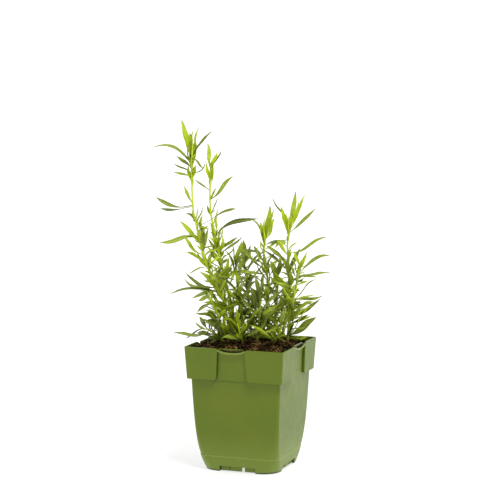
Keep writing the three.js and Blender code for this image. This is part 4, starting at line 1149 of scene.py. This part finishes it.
def crumbs(material):
    """Loose crumbs on the peat and behind the straps: small lumps of many sizes, most a little sunk in."""
    draw = random_numbers(CRUMBS.seed)
    coarse, fine = ball(1), ball(2)
    heap = Gathered()
    for k in range(CRUMBS.count):
        size = CRUMBS.small + (CRUMBS.large - CRUMBS.small) * draw((0, 1)) ** CRUMBS.power
        if k < POCKET.crumbs:
            size = draw(POCKET.size)
            x, y, z = in_pocket(k % 4, draw)
        else:
            x, y, z = on_peat(draw, size + CRUMBS.from_wall)
        shape, faces = fine if size > CRUMBS.fine_from else coarse
        shift = draw(CRUMBS.shifts)
        out = np.array([1 + lumps_at(point, shift) for point in shape])
        lump = shape * out[:, None] * (size * np.array([draw(side) for side in CRUMBS.sides]))
        lump = lump @ turned_by(draw).T + np.array([x, y, z + size * draw(CRUMBS.over)])
        heap.add(lump, faces, chance=draw((0, 1)))
    piece = heap.piece("peat_crumbs", [material])
    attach(piece, "root")


def fibres(material):
    """Thin bent fibres that lie in and on the peat, most of them in tufts."""
    draw = random_numbers(FIBRES.seed)
    tufts = [on_peat(draw, TUFTS.from_wall)[:2] for _ in range(TUFTS.count)]
    t = np.linspace(0, 1, FIBRES.rings)
    half = BODY.half - WALL - FIBRES.inside
    tangle = Gathered()
    for k in range(FIBRES.count):
        x, y, z = on_peat(draw, FIBRES.from_wall)
        if k % TUFTS.loose:
            x, y = tufts[k % len(tufts)]
            x += TUFTS.wide * (draw((-1, 1)) + draw((-1, 1)))
            y += TUFTS.wide * (draw((-1, 1)) + draw((-1, 1)))
            z = peat_top(x, y)
        length, heading = draw(FIBRES.length), draw(ROUND)
        bend, lift = draw(FIBRES.bend), draw(FIBRES.lift)
        flat = np.array([math.cos(heading), math.sin(heading), 0])
        aside = np.array([-flat[1], flat[0], 0])
        radius = draw(FIBRES.radius)
        path = np.array([x, y, z]) + flat * (t * length)[:, None] + aside * (bend * length * t * t)[:, None]
        path[:, 2] += lift * length * np.sin(np.pi * t * draw(FIBRES.arches))
        path[:, :2] = np.clip(path[:, :2], -half, half)
        along = unit(np.gradient(path, axis=0))
        side = unit(np.cross(along, [0.02, 0.01, 1.0]))  # level, and never nought
        points, faces = tube(path, along, side, radius * (1 - FIBRES.taper * t), FIBRES.sides)
        tangle.add(points, faces, chance=draw((0, 1)))
    piece = tangle.piece("peat_fibres", [material])
    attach(piece, "root")


# ---------------------------------------------------------------- materials

# Shares run from 0 to 1, colours are given as they look on a screen, from 0 to 255, and places are in metres.
MIX = Values(factor=0, numbers=(2, 3), colours=(6, 7), colour_out=2)  # places of a Mix node's sockets


class Nodes:
    """A node tree, with short names for the nodes that are used most."""

    def __init__(self, tree):
        self.tree = tree

    def node(self, kind, inputs=None, **settings):
        made = self.tree.nodes.new(kind)
        for key, value in settings.items():
            setattr(made, key, value)
        for key, value in (inputs or {}).items():
            self.put(made.inputs[key], value)
        return made

    def put(self, socket, value):
        if isinstance(value, bpy.types.NodeSocket):
            self.tree.links.new(value, socket)
        else:
            socket.default_value = value

    def spread(self, value, low, high, to_low=0.0, to_high=1.0):
        """The value taken smoothly from one range to another."""
        inputs = {"Value": value, "From Min": low, "From Max": high, "To Min": to_low, "To Max": to_high}
        return self.node("ShaderNodeMapRange", inputs, interpolation_type="SMOOTHSTEP").outputs[0]


class Finish(Nodes):
    """One procedural material."""

    def __init__(self, name, **sockets):
        self.material = bpy.data.materials.new(name)
        self.material.use_nodes = True
        super().__init__(self.material.node_tree)
        self.set(**sockets)

    def set(self, **sockets):
        """Sets or links the shader's sockets, named with _ for each space, and returns the material."""
        for name, value in sockets.items():
            self.put(self.tree.nodes["Principled BSDF"].inputs[name.replace("_", " ")], value)
        return self.material

    def number(self, name):
        return self.node("ShaderNodeAttribute", attribute_name=name).outputs["Fac"]

    def place(self):
        return self.node("ShaderNodeTexCoord").outputs["Object"]

    def noise(self, scale, detail, rough=0.5):
        inputs = {"Vector": self.place(), "Scale": scale, "Detail": detail, "Roughness": rough}
        return self.node("ShaderNodeTexNoise", inputs).outputs["Fac"]

    def maths(self, operation, *values):
        return self.node("ShaderNodeMath", dict(enumerate(values)), operation=operation).outputs[0]

    def times(self, first, second):
        return self.maths("MULTIPLY", first, second)

    def plus(self, first, second):
        return self.maths("ADD", first, second)

    def blend(self, share, first, second):
        inputs = {MIX.factor: share, MIX.colours[0]: first, MIX.colours[1]: second}
        return self.node("ShaderNodeMix", inputs, data_type="RGBA").outputs[MIX.colour_out]

    def coats(self, base, *coats):
        """The base under coats of colour: for each, the share that it covers, and its red, green and blue."""
        for share, *paint in coats:
            base = self.blend(share, base, colour(*paint))
        return base

    def ramp(self, share, *stops):
        """A colour by share: for each stop, its place, and its red, green and blue."""
        made = self.node("ShaderNodeValToRGB", {"Fac": share})
        while len(made.color_ramp.elements) < len(stops):
            made.color_ramp.elements.new(0.5)
        for element, (place, *paint) in zip(made.color_ramp.elements, stops):
            element.position, element.color = place, colour(*paint)
        return made.outputs["Color"]

    def corners(self, reach, shut, open_):
        """How shut in the surface is by what is within reach: 1 in a deep corner, and 0 where it is open."""
        around = self.node("ShaderNodeAmbientOcclusion", {"Distance": reach * MM}, samples=8).outputs["AO"]
        return self.spread(around, shut, open_, 1, 0)

    def bump(self, height, strength, distance, after=None):
        inputs = {"Height": height, "Strength": strength, "Distance": distance * MM}
        if after:
            inputs["Normal"] = after
        return self.node("ShaderNodeBump", inputs).outputs["Normal"]


def colour(red, green, blue):
    """The linear colour that shaders use."""
    def linear(value):
        value /= 255
        return value / 12.92 if value <= 0.04045 else ((value + 0.055) / 1.055) ** 2.4

    return (linear(red), linear(green), linear(blue), 1)


def plastic_finish(name, painted_highlight):
    """Semi-gloss moulded plastic: nearly even green, a fine mould texture, dust of peat near the rim, with
    painted light: paler towards the foot, a highlight on the ledge and straps, shade in corners.
    """
    f = Finish(name, IOR=1.5, Specular_IOR_Level=0.38)
    z = f.node("ShaderNodeSeparateXYZ", {"Vector": f.place()}).outputs["Z"]
    # painted light: the plastic is painted paler towards the foot, as if lit from the floor below
    low = f.spread(z, 0.0, 0.045, 0.7, 0.0)
    # painted highlight: a pale line along the ledge, where its top would catch the light from above
    from_ledge = f.maths("ABSOLUTE", f.maths("SUBTRACT", z, LEDGE.z * MM))
    ledge = f.spread(from_ledge, 0.0003, 0.0007, 0.5, 0)
    # how shut in the surface is: it gathers a little more peat dust there, and it paints shade in the
    # corners, under the collar and in the recesses
    dust_and_shade_corners = f.corners(2.6, 0.45, 0.92)
    specks = f.plus(f.noise(900, 2), f.times(dust_and_shade_corners, 0.1))
    dust = f.times(f.spread(specks, 0.66, 0.72), f.spread(z, 0.108, 0.127))
    green = f.blend(f.spread(f.noise(28, 4), 0.3, 0.7), colour(98, 120, 0), colour(107, 124, 2))
    # The first coat is a painted highlight, used on the straps' copy of the plastic, which is painted paler
    # as if their tops catch the light.
    green = f.coats(
        green, (painted_highlight, 166, 184, 96), (low, 132, 152, 54), (ledge, 160, 178, 90),
        (f.times(dust, 0.7), 78, 50, 22), (f.times(dust_and_shade_corners, 0.85), 34, 42, 2),
    )
    rough = f.spread(f.noise(120, 3), 0.25, 0.75, 0.34, 0.44)
    fine = f.bump(f.noise(1800, 2), 0.12, 0.05)
    return f.set(Base_Color=green, Roughness=rough, Normal=f.bump(f.noise(45, 2), 0.25, 0.5, fine))


def leaf_finish():
    """A smooth narrow leaf: fresh green that darkens with age, a paler midrib and faint side veins."""
    f = Finish(
        "tarragon_leaf", IOR=1.4, Specular_IOR_Level=0.68, Subsurface_Weight=0.35, Subsurface_Scale=MM,
        Subsurface_Radius=(0.8, 1.0, 0.15),
    )
    age, chance, across, along = (f.number(name) for name in ("age", "chance", "across", "along"))
    side = f.maths("ABSOLUTE", across)
    aged = f.plus(age, f.spread(along, 0, 1, 0.08, -0.12))
    deep = f.times(f.spread(chance, 0.1, 0.5, 0.52, 0), f.spread(age, 0.3, 0.6))
    pale = f.spread(chance, 0.3, 1, 0, 0.45)
    patches = f.spread(f.noise(260, 3), 0.35, 0.7, 0, 0.3)
    rib = f.spread(side, 0.0, 0.2, 1, 0)
    slanting = f.maths("SUBTRACT", f.times(along, 14), f.times(side, 2))
    vein = f.spread(f.maths("SINE", f.times(slanting, 6.28)), 0.8, 1.0)
    tip = f.spread(along, 0.86, 0.98, 0, 0.45)
    shaded = f.times(f.corners(16, 0.1, 0.65), f.spread(age, 0.25, 0.6, 0, 0.92))
    dry = f.times(f.spread(along, 0.82, 1.0), f.spread(chance, 0.6, 0.7))
    green = f.coats(
        f.ramp(
            aged, (0.0, 198, 214, 2), (0.25, 181, 199, 12), (0.5, 153, 170, 36), (0.75, 124, 141, 46),
            (1.0, 88, 101, 40),
        ),
        (deep, 52, 64, 18), (pale, 166, 184, 76), (patches, 100, 126, 14), (f.times(rib, 0.45), 204, 216, 84),
        (f.times(vein, 0.16), 186, 204, 66), (tip, 96, 104, 40), (shaded, 34, 46, 5),
        (f.times(dry, 0.8), 150, 120, 74),
    )
    rough = f.spread(f.noise(400, 2), 0.3, 0.7, 0.42, 0.58)
    veins = f.bump(f.plus(f.times(vein, 0.5), rib), 0.35, 0.12)
    return f.set(Base_Color=green, Roughness=rough, Normal=f.bump(f.noise(1500, 2), 0.2, 0.06, veins))


def stalk_finish():
    """A soft green stem: pale yellow green, browner at its foot, with fine ribs along it."""
    f = Finish("tarragon_stalk", IOR=1.4, Specular_IOR_Level=0.35, Roughness=0.5)
    up = f.plus(f.number("along"), f.spread(f.noise(180, 2), 0.2, 0.8, -0.08, 0.08))
    base = f.ramp(up, (0.0, 132, 122, 50), (0.12, 162, 170, 44), (0.35, 194, 212, 36), (1.0, 208, 226, 20))
    base = f.coats(base, (f.spread(f.number("age"), 0.2, 0.8, 0, 0.65), 132, 150, 40))
    return f.set(Base_Color=base, Normal=f.bump(f.noise(900, 2), 0.3, 0.1))


def peat_finish(name, lightest=None):
    """Moist peat: brown and reddish where it is drier, darker in damp patches, with painted shade that makes
    its hollows and shut-in places nearly black.
    """
    f = Finish(name, IOR=1.35, Specular_IOR_Level=0.2)
    coarse = f.noise(140, 5, rough=0.65)
    base = f.ramp(coarse, (0.36, 9, 6, 2), (0.48, 40, 30, 10), (0.57, 112, 84, 36), (0.68, 200, 162, 90))
    base = f.coats(base, (f.spread(f.noise(900, 3), 0.35, 0.75, 0, 0.5), 24, 17, 7))
    if lightest:
        browns = ((0.0, 12, 8, 3), (0.35, 58, 40, 15), (0.6, 160, 104, 54), (0.8, 224, 182, 110))
        base = f.blend(0.8, base, f.ramp(f.number("chance"), *browns, (1.0, *lightest)))
    else:
        # painted shade: nearly black where the peat's surface lies low
        base = f.coats(base, (f.spread(f.number("rise"), -1.6, 1.2, 0.9, 0), 9, 6, 2))
    wet = f.spread(f.noise(44, 3), 0.44, 0.56, 0.92, 0)
    # the damp patches, then painted shade, nearly black where the surface is shut in by what is near it
    base = f.coats(base, (wet, 5, 3, 1), (f.corners(4, 0.42, 0.88), 4, 3, 1))
    rough = f.spread(coarse, 0.3, 0.7, 0.7, 0.95)
    return f.set(Base_Color=base, Roughness=rough, Normal=f.bump(f.noise(1400, 4, rough=0.7), 1.0, 0.8))


def floor_finish():
    """A matt floor that glows, so that it runs on into the white round it and takes only a faint shadow."""
    f = Finish("pale_floor", Roughness=0.9, Emission_Color=(1, 1, 1, 1))
    grey = f.blend(f.noise(6, 2), (0.36, 0.36, 0.36, 1), (0.38, 0.38, 0.38, 1))
    away = f.node("ShaderNodeVectorMath", {"Vector": f.place()}, operation="LENGTH").outputs["Value"]
    return f.set(Base_Color=grey, Emission_Strength=f.spread(away, 0.15, 1.3, 0.66, 0.95))


# ---------------------------------------------------------------- the stage

# Sizes are in metres and angles in degrees here. Azimuth 0 is in front of the plant, and 90 on its right.
CAMERA = Values(azimuth=20.426, elevation=9.498, distance=1.9, look_at=0.1265)
CAMERA_TURN, CAMERA_TILT = 20.465, 6.694  # the way the camera faces, and how far it looks down
LENS, SENSOR = 134.8, 36
DIM = (-0.2, 0.8, 1.15, 0.04)  # towards the camera: two cosines of the angle to it, and the light at each
KEY = Values(azimuth=46, elevation=60, distance=2.2, look_at=0.15)  # the one lamp
KEY_SIZE, KEY_POWER = 0.55, 29
FLOOR_HALF = 6000  # in millimetres


def place_of(thing):
    """Where the camera or the lamp stands."""
    azimuth, elevation = math.radians(thing.azimuth), math.radians(thing.elevation)
    flat = thing.distance * math.cos(elevation)
    up = thing.look_at + thing.distance * math.sin(elevation)
    return Vector((flat * math.sin(azimuth), -flat * math.cos(azimuth), up))


def camera():
    data = bpy.data.cameras.new("camera")
    data.lens, data.sensor_width = LENS, SENSOR
    made = new_object("camera", data)
    made.location = place_of(CAMERA)
    made.rotation_euler = (math.radians(90 - CAMERA_TILT), 0, math.radians(CAMERA_TURN))
    bpy.context.scene.camera = made


def key_light():
    """A large soft lamp that faces the plant."""
    data = bpy.data.lights.new("key", "AREA")
    data.shape, data.size, data.energy = "SQUARE", KEY_SIZE, KEY_POWER
    made = new_object("key", data)
    made.location = place_of(KEY)
    made.rotation_euler = (Vector((0, 0, KEY.look_at)) - place_of(KEY)).to_track_quat("-Z", "Y").to_euler()


def studio_world():
    """White all round, but dim where the photographer stands, except that the camera sees plain white."""
    world = bpy.data.worlds.new("studio")
    world.use_nodes = True
    nodes = Nodes(world.node_tree)
    turn = math.radians(CAMERA.azimuth)
    direction = nodes.node("ShaderNodeTexCoord").outputs["Generated"]
    inputs = {0: direction, 1: (math.sin(turn), -math.cos(turn), 0)}
    towards = nodes.node("ShaderNodeVectorMath", inputs, operation="DOT_PRODUCT").outputs["Value"]
    camera_ray = nodes.node("ShaderNodeLightPath").outputs["Is Camera Ray"]
    inputs = {MIX.factor: camera_ray, MIX.numbers[0]: nodes.spread(towards, *DIM), MIX.numbers[1]: 1}
    strength = nodes.node("ShaderNodeMix", inputs).outputs[0]
    sky = world.node_tree.nodes["Background"].inputs
    nodes.put(sky["Color"], (1, 1, 1, 1))
    nodes.put(sky["Strength"], strength)
    bpy.context.scene.world = world


def stage():
    studio_world()
    bpy.context.scene.view_settings.view_transform = "Standard"
    half = FLOOR_HALF
    corners = [(-half, -half, 0), (half, -half, 0), (half, half, 0), (-half, half, 0)]
    mesh_piece("floor", corners, [(0, 1, 2, 3)], [floor_finish()], smooth=False)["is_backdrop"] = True
    key_light()
    camera()


# ---------------------------------------------------------------- the whole

plant_materials = [leaf_finish(), stalk_finish()]
grow()
for stem in STEMS:
    leafy_stem(stem, plant_materials)
# the straps take a copy of the plastic with a painted highlight
pot([plastic_finish("pot_plastic", 0), plastic_finish("strap_plastic", 0.35)])
peat(peat_finish("peat_mass"))
crumbs(peat_finish("peat_crumb", (206, 164, 96)))
fibres(peat_finish("peat_fibre", (240, 204, 140)))
stage()

boxes = {"cad": cad_box, "visual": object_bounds()}
{name: [[float(value) for value in corner] for corner in corners] for name, corners in boxes.items()}
